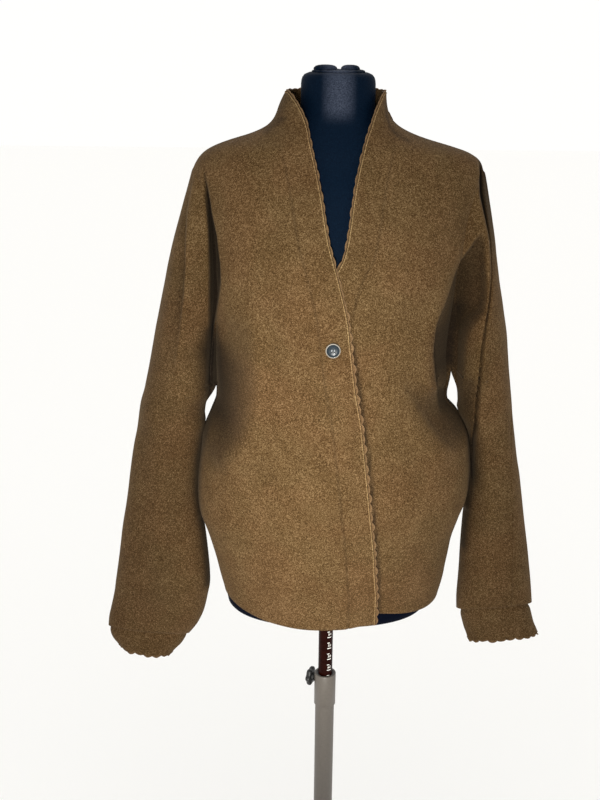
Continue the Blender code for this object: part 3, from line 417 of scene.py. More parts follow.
# Sharp creases with painted shade at their bottoms: panel, wall widths, darkness of that shade, and rows of
# height, near and far edge, depth
Crease = namedtuple("Crease", "panel near_wall far_wall dark rows")
CREASES = [Crease(*row) for row in (
    ("front_right", 0.0030, 0.0016, 0.92, (
        (0.9950, 0.1800, 0.1830, 0.000), (1.0150, 0.1795, 0.1850, 0.012),
        (1.0450, 0.1795, 0.1850, 0.020), (1.0726, 0.1785, 0.1830, 0.022),
        (1.1000, 0.1765, 0.1808, 0.026), (1.1290, 0.1740, 0.1794, 0.030),
        (1.1470, 0.1709, 0.1786, 0.034), (1.1740, 0.1651, 0.1778, 0.036),
        (1.2030, 0.1604, 0.1768, 0.036), (1.2310, 0.1606, 0.1767, 0.034),
        (1.2680, 0.1644, 0.1775, 0.030), (1.2956, 0.1712, 0.1788, 0.024),
        (1.3340, 0.1773, 0.1815, 0.014), (1.3640, 0.1830, 0.1850, 0.000))),
    ("front_right", 0.0022, 0.0260, 0.44, (
        (1.0600, 0.2300, 0.2450, 0.000), (1.1080, 0.2226, 0.2360, 0.004),
        (1.1500, 0.2165, 0.2290, 0.007), (1.1900, 0.2117, 0.2230, 0.010),
        (1.2300, 0.2092, 0.2190, 0.012), (1.2670, 0.2085, 0.2160, 0.013),
        (1.3010, 0.2072, 0.2120, 0.012), (1.3380, 0.2001, 0.2040, 0.006),
        (1.3550, 0.1980, 0.2000, 0.000))),
    ("front_left", 0.0030, 0.0100, 0.54, (
        (1.0100, 0.1540, 0.1840, 0.000), (1.0300, 0.1500, 0.1840, 0.014),
        (1.0500, 0.1460, 0.1840, 0.022), (1.0687, 0.1430, 0.1841, 0.030),
        (1.0900, 0.1390, 0.1835, 0.036), (1.1100, 0.1355, 0.1830, 0.036),
        (1.1300, 0.1350, 0.1850, 0.034), (1.1510, 0.1370, 0.1940, 0.030),
        (1.1660, 0.1415, 0.2060, 0.027), (1.1800, 0.1500, 0.2080, 0.024),
        (1.1990, 0.1573, 0.2080, 0.021), (1.2240, 0.1675, 0.2060, 0.017),
        (1.2450, 0.1775, 0.2040, 0.013), (1.2667, 0.1898, 0.2038, 0.008),
        (1.2800, 0.2005, 0.2035, 0.000))),
    ("front_left", 0.0022, 0.0020, 0.92, (
        (0.8650, 0.2120, 0.2140, 0.000), (0.9050, 0.2112, 0.2142, 0.010),
        (0.9374, 0.2094, 0.2126, 0.018), (0.9744, 0.2074, 0.2108, 0.022),
        (1.0146, 0.2060, 0.2094, 0.024), (1.0667, 0.2055, 0.2089, 0.024),
        (1.1000, 0.2062, 0.2095, 0.023), (1.1270, 0.2075, 0.2107, 0.021),
        (1.1550, 0.2100, 0.2131, 0.017), (1.1830, 0.2130, 0.2159, 0.012),
        (1.2144, 0.2152, 0.2179, 0.007), (1.2400, 0.2140, 0.2168, 0.005),
        (1.2655, 0.2108, 0.2138, 0.006), (1.3000, 0.2020, 0.2070, 0.010),
        (1.3265, 0.1956, 0.2020, 0.012), (1.3500, 0.1950, 0.2010, 0.010),
        (1.3740, 0.1949, 0.1985, 0.000))),
    ("front_left", 0.0030, 0.0080, 0.66, (
        (1.2000, 0.2160, 0.2240, 0.000), (1.2600, 0.2112, 0.2230, 0.008),
        (1.3000, 0.2020, 0.2190, 0.010), (1.3265, 0.1956, 0.2150, 0.012),
        (1.3600, 0.1952, 0.2100, 0.010), (1.3820, 0.1930, 0.2000, 0.000))),
    ("front_left", 0.0080, 0.0120, 0.42, (
        (0.9550, 0.1830, 0.1950, 0.000), (0.9626, 0.1719, 0.1950, 0.004),
        (0.9805, 0.1533, 0.1950, 0.009), (1.0032, 0.1356, 0.1900, 0.011),
        (1.0267, 0.1201, 0.1850, 0.010), (1.0522, 0.1040, 0.1480, 0.007),
        (1.0660, 0.0950, 0.1300, 0.004), (1.0850, 0.0850, 0.1000, 0.000))))]

# Painted shade where cloth lies close to cloth and stays dim, beside the overlapping front edge, behind the
# collar and down a sleeve's side: panel, darkness, half width and path
Shade = namedtuple("Shade", "panel dark width path")
SHADES = [Shade(*row) for row in (
    ("front_right", 0.82, 0.022, ((-0.174, 1.100), (-0.168, 1.060), (-0.172, 1.010))),
    ("front_right", 0.50, 0.026, ((-0.150, 1.080), (-0.152, 1.000), (-0.170, 0.960))),
    ("front_right", 0.85, 0.009, ((-0.1780, 1.128), (-0.1770, 1.090), (-0.1765, 1.045))),
    ("front_right", 0.40, 0.0035, ((-0.1000, 1.4080), (-0.0862, 1.4180), (-0.0735, 1.4255))),
    ("front_right", 0.35, 0.0080, ((-0.0860, 1.4260), (-0.0790, 1.4400), (-0.0750, 1.4500))),
    ("front_right", 0.15, 0.045, ((-0.245, 1.180), (-0.262, 1.050), (-0.262, 0.850), (-0.270, 0.700))),
    ("front_left", 0.45, 0.0028, ((0.0640, 1.4480), (0.0655, 1.4300), (0.0700, 1.4150), (0.0800, 1.4050),
                                  (0.0950, 1.3980))),
    ("front_left", 0.72, 0.0034, ((0.0210, 1.1400), (0.0320, 1.0709), (0.0470, 0.9735), (0.0580, 0.8788),
                                  (0.0685, 0.7799), (0.0715, 0.6900))),
    ("front_left", 0.72, 0.013, ((0.1760, 1.160), (0.1700, 1.120), (0.1700, 1.080))),
    ("front_left", 0.62, 0.018, ((0.1480, 1.130), (0.1520, 1.080))),
    ("front_right", 0.75, 0.006, ((-0.1790, 1.020), (-0.1900, 0.968), (-0.2005, 0.930), (-0.2045, 0.870),
                                  (-0.2010, 0.835), (-0.1960, 0.800), (-0.1910, 0.750), (-0.1900, 0.710))),
    ("front_left", 0.40, 0.010, ((0.196, 1.060), (0.200, 1.000), (0.207, 0.950), (0.211, 0.900))),
    ("front_left", 0.80, 0.006, ((0.2055, 0.960), (0.2115, 0.910), (0.2095, 0.868), (0.2065, 0.830),
                                 (0.2055, 0.780))),
    ("front_left", 0.30, 0.022, ((0.165, 1.030), (0.178, 0.990))))]

# Overarm seam of the left sleeve: place across, height
SEAM_LINE = ((0.2640, 0.9977), (0.2657, 0.9637), (0.2674, 0.9160), (0.2716, 0.8743),
             (0.2759, 0.8254), (0.2789, 0.7638), (0.2835, 0.6930))
SEAM_STEPS = 60
SEAM_RIDGE = 0.0007

# Dress form: height, half width, front depth, back depth
Ring = namedtuple("Ring", "z half_width front back")
FORM = [Ring(*row) for row in (
    (1.4850, 0.0400, 0.0400, 0.0400),
    (1.4820, 0.0470, 0.0470, 0.0470),
    (1.4750, 0.0508, 0.0500, 0.0500),
    (1.4600, 0.0515, 0.0500, 0.0500),
    (1.4350, 0.0520, 0.0500, 0.0520),
    (1.4230, 0.0575, 0.0520, 0.0560),
    (1.4140, 0.0710, 0.0545, 0.0610),
    (1.4060, 0.0900, 0.0580, 0.0680),
    (1.3992, 0.1105, 0.0610, 0.0730),
    (1.3928, 0.1310, 0.0640, 0.0770),
    (1.3856, 0.1550, 0.0675, 0.0810),
    (1.3740, 0.1660, 0.0715, 0.0845),
    (1.3600, 0.1705, 0.0770, 0.0880),
    (1.3350, 0.1730, 0.0880, 0.0930),
    (1.3000, 0.1660, 0.1000, 0.0980),
    (1.2500, 0.1560, 0.1150, 0.1000),
    (1.2000, 0.1500, 0.1200, 0.0990),
    (1.1300, 0.1400, 0.1080, 0.0930),
    (1.0600, 0.1310, 0.0960, 0.0880),
    (1.0000, 0.1350, 0.0960, 0.0900),
    (0.9200, 0.1560, 0.1040, 0.1020),
    (0.8400, 0.1690, 0.1080, 0.1140),
    (0.7600, 0.1650, 0.1050, 0.1120),
    (0.7050, 0.1590, 0.1000, 0.1060),
    (0.6840, 0.1565, 0.0980, 0.1030),
    (0.6790, 0.1525, 0.0950, 0.1000))]
FORM_POWER = 2.25
FORM_COLUMNS = 96
FORM_STEP = 0.006


# Curves and sections

def smooth_step(value, start, end):
    share = np.clip((value - start) / (end - start), 0.0, 1.0)
    return share * share * (3.0 - 2.0 * share)


def turns(count):
    """The angles of a full turn in even steps."""
    return [math.tau * k / count for k in range(count)]


def rounded(value, power):
    """A sine or cosine drawn out towards the corners of a rounded outline."""
    return math.copysign(abs(value) ** (2 / power), value)


def curve_value(places, values, at):
    if at <= places[0]:
        return values[0]
    if at >= places[-1]:
        return values[-1]
    low = bisect_right(places, at) - 1

    def slope(row):
        before, after = max(row - 1, 0), min(row + 1, len(places) - 1)
        return (values[after] - values[before]) / (places[after] - places[before])

    span = places[low + 1] - places[low]
    t = (at - places[low]) / span
    return ((1 + 2 * t) * (1 - t) ** 2 * values[low]
            + t * (1 - t) ** 2 * span * slope(low)
            + t * t * (3 - 2 * t) * values[low + 1]
            + t * t * (t - 1) * span * slope(low + 1))


def read(table, column, at):
    key = table[0]._fields[0]
    places = [getattr(row, key) for row in table]
    return curve_value(places, [getattr(row, column) for row in table], at)


def at_height(table, z):
    """All of a table's columns at a height."""
    return [read(table, column, z) for column in table[0]._fields[1:]]


def arc(half_width, depth, power, angles):
    across, along = np.sin(angles), np.cos(angles)
    return np.stack((half_width * np.sign(across) * np.abs(across) ** (2 / power),
                     depth * np.abs(along) ** (2 / power)), axis=1)


def arc_depth(x, half_width, depth, power):
    share = min(1.0, abs(x) / half_width)
    return depth * (1.0 - share ** power) ** (1 / power)


def body_arc(side, face, z, start):
    half_width, power = read(BODY, side, z), read(BODY, "power", z)
    share = min(ARC_LIMIT, abs(start) / half_width)
    first = math.copysign(math.asin(share ** (power / 2)), start)
    return arc(half_width, read(BODY, face, z), power,
               np.linspace(first, math.pi / 2, ARC_STEPS))


def sleeve_inner(side, z):
    """The sleeve's near edge, which follows the body's outline where the two touch."""
    low, high = TOUCHING[side]
    share = smooth_step(z, low - TOUCH_BLEND, low) * (1.0 - smooth_step(z, high, high + TOUCH_BLEND))
    inner = read(SLEEVES[side], "inner", z)
    return inner + float(share) * (read(BODY, side, z) + TOUCH_GAP - inner)


def sleeve_arc(side, z):
    inner = sleeve_inner(side, z)
    _, outer, depth = at_height(SLEEVES[side], z)
    points = arc((outer - inner) / 2, depth, SLEEVE_POWER,
                 np.linspace(-math.pi / 2, math.pi / 2, ARC_STEPS))
    points[:, 0] += (inner + outer) / 2
    return points


def valley(side, face, z):
    """Where the body's outline and the sleeve's cross, or None where the sleeve is inside."""
    rows = SLEEVES[side]
    half_width, power = read(BODY, side, z), read(BODY, "power", z)
    inner, outer = read(rows, "inner", z), read(rows, "outer", z)
    if z > rows[-1].z or outer <= half_width * SLEEVE_CLEAR:
        return None
    if z <= UNDERARM[side]:
        return ((half_width + inner) / 2, 0.0)
    middle, sleeve_half = (inner + outer) / 2, (outer - inner) / 2
    body_depth, sleeve_depth = read(BODY, face, z), read(rows, "depth", z)
    low, high = inner, half_width
    for _ in range(HALVINGS):
        x = (low + high) / 2
        deeper = (arc_depth(x, half_width, body_depth, power)
                  > arc_depth(x - middle, sleeve_half, sleeve_depth, SLEEVE_POWER))
        low, high = (x, high) if deeper else (low, x)
    return (low, arc_depth(low, half_width, body_depth, power))


def lengths_of(points):
    return np.concatenate(([0.0], np.cumsum(np.linalg.norm(np.diff(points, axis=0), axis=1))))


def start_crowding(share):
    return share ** SLEEVE_CROWDING


def end_crowding(share):
    return 1.0 - (1.0 - share) ** BODY_CROWDING


def spaced(points, near, count, crowding):
    """Points along an outline: the near distances first, then crowded ones and those at a seam."""
    lengths = lengths_of(points)
    total = lengths[-1]
    scale = min(1.0, total / EDGE_ROOM)
    first = [place * scale for place in near]
    last = [total - place * scale for place in SEAM_COLUMNS]
    between = first[-1] + (last[0] - first[-1]) * crowding(np.linspace(0.0, 1.0, count + 2)[1:-1])
    wanted = np.array(first + list(between) + last)
    made = np.stack([np.interp(wanted, lengths, points[:, k]) for k in (0, 1)], axis=1)
    return made, wanted, total - wanted


def split_outline(side, face, z, start):
    """The body's and the sleeve's parts of a joined outline."""
    crossing = valley(side, face, z)
    body = body_arc(side, face, z, start)
    if crossing is None:
        lengths = lengths_of(body)
        at = np.searchsorted(lengths, lengths[-1] * PLAIN_SPLIT)
        return body[:at + 1], body[at:]
    meet = np.array([crossing])
    sleeve = sleeve_arc(side, z)
    return (np.concatenate((body[body[:, 0] < crossing[0]], meet)),
            np.concatenate((meet, sleeve[sleeve[:, 0] > crossing[0]])))


# Folds

def path_distance(x, z, path):
    """Distance of each point from a path of (x, z) places."""
    nearest = np.full(x.shape, FAR)
    for (ax, az), (bx, bz) in zip(path, path[1:]):
        ux, uz = bx - ax, bz - az
        t = np.clip(((x - ax) * ux + (z - az) * uz) / (ux * ux + uz * uz), 0.0, 1.0)
        nearest = np.minimum(nearest, np.hypot(x - ax - t * ux, z - az - t * uz))
    return nearest


def fold_rise(panel, x, z):
    rise = np.zeros(x.shape)
    for fold in FOLDS:
        if fold.panel == panel:
            rise += fold.rise * np.exp(-(path_distance(x, z, fold.path) / fold.width) ** 2)
    return rise


def crease_terms(panel, across, z):
    """How deep the creases are at some places of a panel, and how much painted shade darkens their bottoms.
    """
    depth, lit = np.zeros(across.shape), np.ones(across.shape)
    for crease in CREASES:
        if crease.panel == panel:
            levels, nears, fars, depths = zip(*crease.rows)
            near, far = np.interp(z, levels, nears), np.interp(z, levels, fars)
            inside = smooth_step((across - near) / crease.near_wall, 0.0, 1.0)
            outside = smooth_step((far - across) / crease.far_wall, -0.5, 0.5)
            here = np.interp(z, levels, depths, left=0.0, right=0.0)
            depth += here * inside * outside
            # Painted shade: the crease's bottom is darkened in proportion to its depth
            lit *= 1.0 - crease.dark * np.clip(here / FULL_SHADE_DEPTH, 0.0, 1.0) * inside * outside
    return depth, 1.0 - lit


def shade_of(panel, x, z):
    """How much painted shade darkens a panel's cloth in its creases, where cloth lies against cloth and at
    the other SHADES places.
    """
    lit = 1.0 - crease_terms(panel, np.abs(x), z)[1]
    for shade in SHADES:
        if shade.panel == panel:
            lit *= 1.0 - shade.dark * np.exp(-(path_distance(x, z, shade.path) / shade.width) ** 2)
    return 1.0 - lit


def sleeve_end_rise(side, rows, across, ahead, z):
    share = smooth_step(SLEEVE_END[side] + SLEEVE_END_BLEND - z, 0.0, SLEEVE_END_BLEND)
    inner, outer, depth = at_height(rows, z)
    out_share = (2 * across - inner - outer) / (outer - inner)
    return share * (out_share * SLEEVE_END_RISE_OUT + ahead / depth * SLEEVE_END_RISE_FRONT)


def cloth_points(panel, side, face, outline, level, is_body):
    """A row of a panel's outer points in space, with folds, overlap and hem."""
    across, depth = outline[:, 0], outline[:, 1]
    x = SIGN[side] * across
    z = np.full(x.shape, level)
    if is_body and level < HEM_LEVEL + HEM_BLEND:
        share = float(smooth_step(HEM_LEVEL + HEM_BLEND - level, 0.0, HEM_BLEND))
        z += (np.array([read(HEM[panel], "z", place) for place in x]) - HEM_LEVEL) * share
    if not is_body:
        ahead = depth if face == "front" else -depth
        z += sleeve_end_rise(side, SLEEVES[side], across, ahead, level)
    calm = smooth_step(depth, 0.0, FOLD_FADE)
    crease = crease_terms(panel, np.abs(x), z)[0]
    out = depth + (fold_rise(panel, x, z) - crease) * calm + SEAM / 2
    out = np.maximum(out, np.minimum(depth + SEAM / 2, CREASE_FLOOR))
    if panel == "front_right":
        out += OVERLAP_LIFT * smooth_step(LIFT_FROM - across, 0.0, LIFT_FROM - LIFT_TO)
    return np.stack((x + JACKET_SIDE, -out if face == "front" else out, z), axis=1)


# Cloth surfaces

class Cloth:
    """Points and faces of one panel's outer surface, with each point's place on it."""

    def __init__(self):
        self.points, self.faces = [], []
        self.from_edge, self.from_seam, self.from_valley = [], [], []
        self.fixed = []

    def row(self, points, from_edge, from_seam, from_valley, fixed, first=None):
        made = [] if first is None else [first]
        for k in range(len(made), len(points)):
            made.append(len(self.points))
            self.points.append(points[k])
            self.from_edge.append(from_edge[k])
            self.from_seam.append(from_seam[k])
            self.from_valley.append(from_valley[k])
            self.fixed.append(fixed[k])
        return made

    def join(self, rows, side):
        for upper, lower in zip(rows, rows[1:]):
            for k in range(len(upper) - 1):
                face = (upper[k], upper[k + 1], lower[k + 1], lower[k])
                self.faces.append(face if side == "right" else face[::-1])


def levels_between(top, bottom, count):
    return [top + (bottom - top) * row / count for row in range(1, count + 1)]


def levels_to_pit(top, bottom, count):
    """Row heights down to an underarm, with the last step cut finer where the sleeve parts."""
    levels = levels_between(top, bottom, count)
    gap = levels[-2] - bottom
    return levels[:-1] + [bottom + gap * (1.0 - step / PIT_STEPS) ** PIT_CROWDING
                          for step in range(1, PIT_STEPS + 1)]


def all_levels():
    """Row heights that both sides share, from the collar to the hem."""
    top = SHOULDER_LEVELS[::-1]
    levels = [top[0]]
    for upper, lower in zip(top, top[1:]):
        levels += levels_between(upper, lower, SHOULDER_STEPS)
    levels += levels_to_pit(top[-1], UNDERARM["left"], CHEST_ROWS)
    levels += levels_to_pit(UNDERARM["left"], UNDERARM["right"], PIT_ROWS)
    return levels + levels_between(UNDERARM["right"], HEM_LEVEL, SKIRT_ROWS)


def half_panel(cloth, panel, side, face, start_at, near, count, sleeve_count, middle=None):
    """One side of a panel; gives its rows from the collar to the hem."""
    rows, arm_rows = [], []
    for index, z in enumerate(all_levels()):
        first = None if middle is None else middle[index]
        if z < UNDERARM[side] - SAME_LEVEL:
            outline = body_arc(side, face, z, start_at(z))
            places, edge, seam = spaced(outline, near, count, end_crowding)
            points = cloth_points(panel, side, face, places, z, True)
            fixed = [k in (0, len(places) - 1) for k in range(len(places))]
            rows.append(cloth.row(points, edge, seam, [FAR] * len(edge), fixed, first))
            continue
        body, sleeve = split_outline(side, face, z, start_at(z))
        places, edge, to_valley = spaced(body, near, count, end_crowding)
        sleeve_places, beyond, seam = spaced(sleeve, (0.0,), sleeve_count, start_crowding)
        outline = np.concatenate((places, sleeve_places[1:]))
        points = cloth_points(panel, side, face, outline, z, True)
        total = len(outline)
        last_row = abs(z - UNDERARM[side]) < SAME_LEVEL
        fixed = [k in (0, total - 1) or index == 0 or last_row for k in range(total)]
        rows.append(cloth.row(
            points, np.concatenate((edge, edge[-1] + beyond[1:])),
            np.concatenate((seam[0] + to_valley, seam[1:])),
            np.concatenate((to_valley, beyond[1:])), fixed, first))
        if last_row:
            arm_rows.append(rows[-1][len(places) - 1:])
            cloth.from_seam[arm_rows[0][0]] = 0.0
    columns = len(near) + count + len(SEAM_COLUMNS)
    joined = [row for row in rows if len(row) > columns]
    apart = [joined[-1][:columns]] + [row for row in rows if len(row) == columns]
    for z in levels_between(UNDERARM[side], SLEEVE_END[side], SLEEVE_ROWS):
        places, beyond, seam = spaced(sleeve_arc(side, z), (0.0,), sleeve_count, start_crowding)
        points = cloth_points(panel, side, face, places, z, False)
        fixed = [k in (0, len(places) - 1) for k in range(len(places))]
        arm_rows.append(cloth.row(points, [FAR] * len(places), np.minimum(beyond, seam),
                                  [FAR] * len(places), fixed))
    cloth.join(joined, side)
    cloth.join(apart, side)
    cloth.join(arm_rows, side)
    return rows


def relax(points, faces, weight, rounds):
    """Evens out points towards their neighbours' mean, each by its own weight."""
    quads = np.array(faces)
    edges = np.concatenate([quads[:, [k, (k + 1) % 4]] for k in range(4)])
    edges = np.unique(np.sort(edges, axis=1), axis=0)
    count = np.bincount(edges.ravel(), minlength=len(points))[:, None]
    for _ in range(rounds):
        total = np.zeros_like(points)
        np.add.at(total, edges[:, 0], points[edges[:, 1]])
        np.add.at(total, edges[:, 1], points[edges[:, 0]])
        points += weight[:, None] * (total / count - points)


def vertex_normals(points, faces):
    """Each point's normal, from the four-sided faces around it."""
    quads = np.array(faces)
    a, b, c, d = (points[quads[:, k]] for k in range(4))
    flat = np.cross(c - a, d - b)
    made = np.zeros_like(points)
    for k in range(4):
        np.add.at(made, quads[:, k], flat)
    return made / (np.linalg.norm(made, axis=1)[:, None] + TINY)


def panel_normals(points, faces, facing):
    made = vertex_normals(points, faces)
    return made if np.sum(made[:, 1]) * facing > 0 else -made


def border_edges(faces):
    border = set()
    for face in faces:
        for a, b in zip(face, face[1:] + face[:1]):
            border ^= {(min(a, b), max(a, b))}
    return sorted(border)


def thick(points, normals, faces, thickness=CLOTH):
    """A closed wall with a rounded rim from a surface and its normals."""
    count = len(points)
    inner = points - normals * thickness
    centre = np.zeros_like(points)
    shared = np.zeros(count)
    for face in faces:
        middle = points[list(face)].mean(axis=0)
        for k in face:
            centre[k] += middle
            shared[k] += 1
    border = border_edges(faces)
    rim_of = {}
    rim = []
    for k in sorted({end for edge in border for end in edge}):
        away = points[k] - centre[k] / shared[k]
        away -= normals[k] * away.dot(normals[k])
        away /= np.linalg.norm(away) + TINY
        rim_of[k] = 2 * count + len(rim)
        out = 0.0 if abs(points[k][1]) < SEAM_PLANE else RIM_OUT
        rim.append(points[k] - normals[k] * thickness / 2 + away * out)
    all_faces = list(faces) + [tuple(k + count for k in reversed(face)) for face in faces]
    for a, b in border:
        all_faces.append((a, b, rim_of[b], rim_of[a]))
        all_faces.append((rim_of[a], rim_of[b], b + count, a + count))
    return np.concatenate((points, inner, np.array(rim))), all_faces


def shape_cloth(cloth, facing, grooves, rounds):
    """Smooths the valley, then presses seams, stitch lines and unevenness into a panel."""
    points = np.array(cloth.points)
    from_edge, from_seam = np.array(cloth.from_edge), np.array(cloth.from_seam)
    valley_weight = np.exp(-(np.array(cloth.from_valley) / VALLEY_REACH) ** 2)
    armpits = np.where(points[:, 0] < JACKET_SIDE, UNDERARM["right"], UNDERARM["left"])
    fade = smooth_step(points[:, 2] - armpits, 0.0, UNDERARM_FADE)
    weight = np.where(cloth.fixed, 0.0, 0.5 * valley_weight * fade)
    relax(points, cloth.faces, weight, rounds)
    normals = panel_normals(points, cloth.faces, facing)
    open_seam = np.maximum(smooth_step(np.abs(points[:, 0]), *OPEN_SEAM_ACROSS),
                           smooth_step(points[:, 2], *OPEN_SEAM_UP))
    lift = -GROOVE * open_seam * np.exp(-(from_seam / GROOVE_WIDTH) ** 2)
    for place, depth, width, top in grooves:
        faded = smooth_step(top - points[:, 2], 0.0, LINE_FADE)
        lift -= depth * faded * np.exp(-((from_edge - place) / width) ** 2)
    calm = smooth_step(from_seam, 0.0, CALM_REACH) * smooth_step(from_edge, 0.0, CALM_REACH)
    wobble = np.array([noise.noise(Vector(point) * BROAD_WOBBLE)
                       + 0.5 * noise.noise(Vector(point) * FINE_WOBBLE) for point in points])
    points += normals * (lift + wobble * UNEVEN * calm)[:, None]
    normals = panel_normals(points, cloth.faces, facing)
    normals[from_seam < NO_DISTANCE, 1] = 0.0
    normals /= np.linalg.norm(normals, axis=1)[:, None]
    return points, normals


def make_object(name, points, faces, finish, body):
    mesh = bpy.data.meshes.new(name)
    mesh.from_pydata([tuple(float(v) for v in point) for point in points], [], faces)
    form = bmesh.new()
    form.from_mesh(mesh)
    bmesh.ops.recalc_face_normals(form, faces=form.faces)
    form.to_mesh(mesh)
    form.free()
    mesh.shade_smooth()
    for one in finish if isinstance(finish, (list, tuple)) else [finish]:
        mesh.materials.append(one)
    made = bpy.data.objects.new(name, mesh)
    bpy.context.scene.collection.objects.link(made)
    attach(made, body)
    return made


def mark_points(piece, name, values):
    """Keeps one number for each point of a piece, for its material to read."""
    mark = piece.data.attributes.new(name, "FLOAT", "POINT")
    mark.data.foreach_set("value", np.array(values, np.float32))


def keep_seam_side(points, facing):
    """Keeps a panel on its own side of the seams' plane."""
    points[:, 1] = facing * np.maximum(facing * points[:, 1], SEAM / 2)


def finish_panel(name, cloth, facing, grooves, finish, rounds):
    points, normals = shape_cloth(cloth, facing, grooves, rounds)
    keep_seam_side(points, facing)
    wall_points, faces = thick(points, normals, cloth.faces)
    keep_seam_side(wall_points, facing)
    piece = make_object(name + "_cloth", wall_points, faces, finish, "figure")
    rim = np.zeros(len(wall_points) - 2 * len(points))
    # Painted shade for the wool: darker in creases, at the SHADES places and along the facing's stitch groove
    from_facing = np.concatenate((cloth.from_edge, cloth.from_edge, rim)) - FACING
    facing_groove_shade = FACING_SHADE * np.exp(-(from_facing / FACING_SHADE_WIDTH) ** 2)
    facing_groove_shade *= smooth_step(FACING_TOP - wall_points[:, 2], 0.0, LINE_FADE)
    shade = shade_of(name, wall_points[:, 0] - JACKET_SIDE, wall_points[:, 2])
    mark_points(piece, "shade", 1.0 - (1.0 - shade) * (1.0 - facing_groove_shade))
    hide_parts(name)
    return piece, points, normals


def edge_line(points, normals, pairs):
    return [(Vector(points[a]), Vector(normals[a]), Vector(points[b])) for a, b in pairs]


def make_front(side, finish):
    name = "front_" + side
    cloth = Cloth()
    rows = half_panel(cloth, name, side, "front", lambda z: read(EDGES[side], "x", z),
                      EDGE_COLUMNS, FRONT_COLUMNS, FRONT_SLEEVE_COLUMNS)
    piece, points, normals = finish_panel(name, cloth, -1.0, FRONT_GROOVES, finish, FRONT_ROUNDS)
    pairs = [(row[0], row[4]) for row in rows[::-1]]
    pairs += zip(rows[0][1:], rows[3][1:])
    return piece, edge_line(points, normals, pairs)


def make_back(finish):
    cloth = Cloth()
    shape = (lambda z: 0.0, (0.0,), BACK_COLUMNS, BACK_SLEEVE_COLUMNS)
    right = half_panel(cloth, "back", "right", "back", *shape)
    middle = [row[0] for row in right]
    left = half_panel(cloth, "back", "left", "back", *shape, middle)
    for k in middle:
        cloth.fixed[k] = False
    cloth.from_edge = [FAR] * len(cloth.points)
    piece, points, normals = finish_panel("back", cloth, 1.0, (), finish, BACK_ROUNDS)
    across = right[0][::-1] + left[0][1:]
    below = right[3][::-1] + left[3][1:]
    return piece, edge_line(points, normals, zip(across, below))


def make_seam_line(piece, finish):
    """The overarm seam's narrow raised line on the left sleeve, laid on the cloth's face."""
    tree = BVHTree.FromPolygons([vertex.co for vertex in piece.data.vertices],
                                [tuple(polygon.vertices) for polygon in piece.data.polygons])
    heights, places = [row[1] for row in SEAM_LINE[::-1]], [row[0] for row in SEAM_LINE[::-1]]
    path = []
    for step in range(SEAM_STEPS + 1):
        z = heights[0] + (heights[-1] - heights[0]) * step / SEAM_STEPS
        x = curve_value(heights, places, z) + JACKET_SIDE
        hit, normal, _, _ = tree.ray_cast(Vector((x, -1.0, z)), Vector((0.0, 1.0, 0.0)))
        path.append(hit + normal * SEAM_RIDGE * 0.2)
    return sew("seam_left", path, SEAM_RIDGE, finish)


# Edging

def edging_rows(line, steps, closed):
    """Evenly spaced places along an edge: point, normal and the way out of the cloth."""
    lengths = [0.0]
    for here, after in zip(line, line[1:]):
        lengths.append(lengths[-1] + (after[0] - here[0]).length)
    rows = []
    for step in range(steps if closed else steps + 1):
        at = lengths[-1] * step / steps
        low = min(bisect_right(lengths, at) - 1, len(line) - 2)
        span = lengths[low + 1] - lengths[low]
        t = 0.0 if span < NO_DISTANCE else (at - lengths[low]) / span
        edge, normal, behind = (line[low][k].lerp(line[low + 1][k], t) for k in range(3))
        rows.append([edge, normal.normalized(), edge - behind])
    total = len(rows)
    for index, row in enumerate(rows):
        after = rows[(index + 1) % total if closed else min(index + 1, total - 1)][0]
        before = rows[(index - 1) % total if closed else max(index - 1, 0)][0]
        along = (after - before).normalized()
        away = row[2]
        away -= row[1] * away.dot(row[1])
        away -= along * away.dot(along)
        row[2] = away.normalized()
    return rows


def scallop_reach(z, step, phase):
    """How far a scallop stands out, by its height on the jacket and its number along the edge."""
    bulge = EDGING_BULGE * (LOW_BULGE - BULGE_LOSS * float(smooth_step(z, *BULGE_BLEND)))
    bulge *= SCALLOP_MEAN + SCALLOP_UNEVEN * math.sin(2.4 * (step // SCALLOP_STEPS))
    return EDGING_ROOT + bulge * abs(math.sin(phase)) ** EDGING_POWER


def make_edging(name, line, finish, ridge_highlight_finish, closed=False):
    """The scalloped strip beyond an edge and the narrow ridge along the edge, whose lighter finish is a
    painted highlight.
    """
    length = sum((b[0] - a[0]).length for a, b in zip(line, line[1:]))
    waves = max(3, round(length / SCALLOP_LENGTH))
    rows = edging_rows(line, waves * SCALLOP_STEPS, closed)
    strip, ridge, tip_highlight = [], [], []
    for step, (edge, normal, away) in enumerate(rows):
        phase = math.pi * step / SCALLOP_STEPS
        reach = scallop_reach(edge.z, step, phase)
        curl = EDGING_CURL * math.sin(phase) ** 2 * (0.6 + 0.4 * math.sin(2.3 * phase + 1.0))
        middle, half = (EDGING_START + reach) / 2, (reach - EDGING_START) / 2
        for turn in turns(EDGING_SIDES):
            across, up = math.cos(turn), math.sin(turn)
            out = middle + half * math.copysign(abs(across) ** EDGING_POWER, across)
            share = out / reach
            rise = EDGING_HALF * (0.75 + 0.35 * share) * up + curl * share * share
            strip.append(edge + away * out + normal * (rise - CLOTH / 2))
            tip_highlight.append(share)
            ridge.append(edge - away * (RIDGE_IN - RIDGE_RADIUS * across)
                         + normal * (RIDGE_HALF * up + RIDGE_WAVE * math.sin(step * 2.2)))
    faces = tube_faces(len(rows), EDGING_SIDES, closed)
    piece = make_object(name + "_scallops", strip, faces, finish, "figure")
    mark_points(piece, "tip", tip_highlight)
    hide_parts(name)
    return [piece, make_object(name + "_ridge", ridge, faces, ridge_highlight_finish, "figure")]


# Cuffs

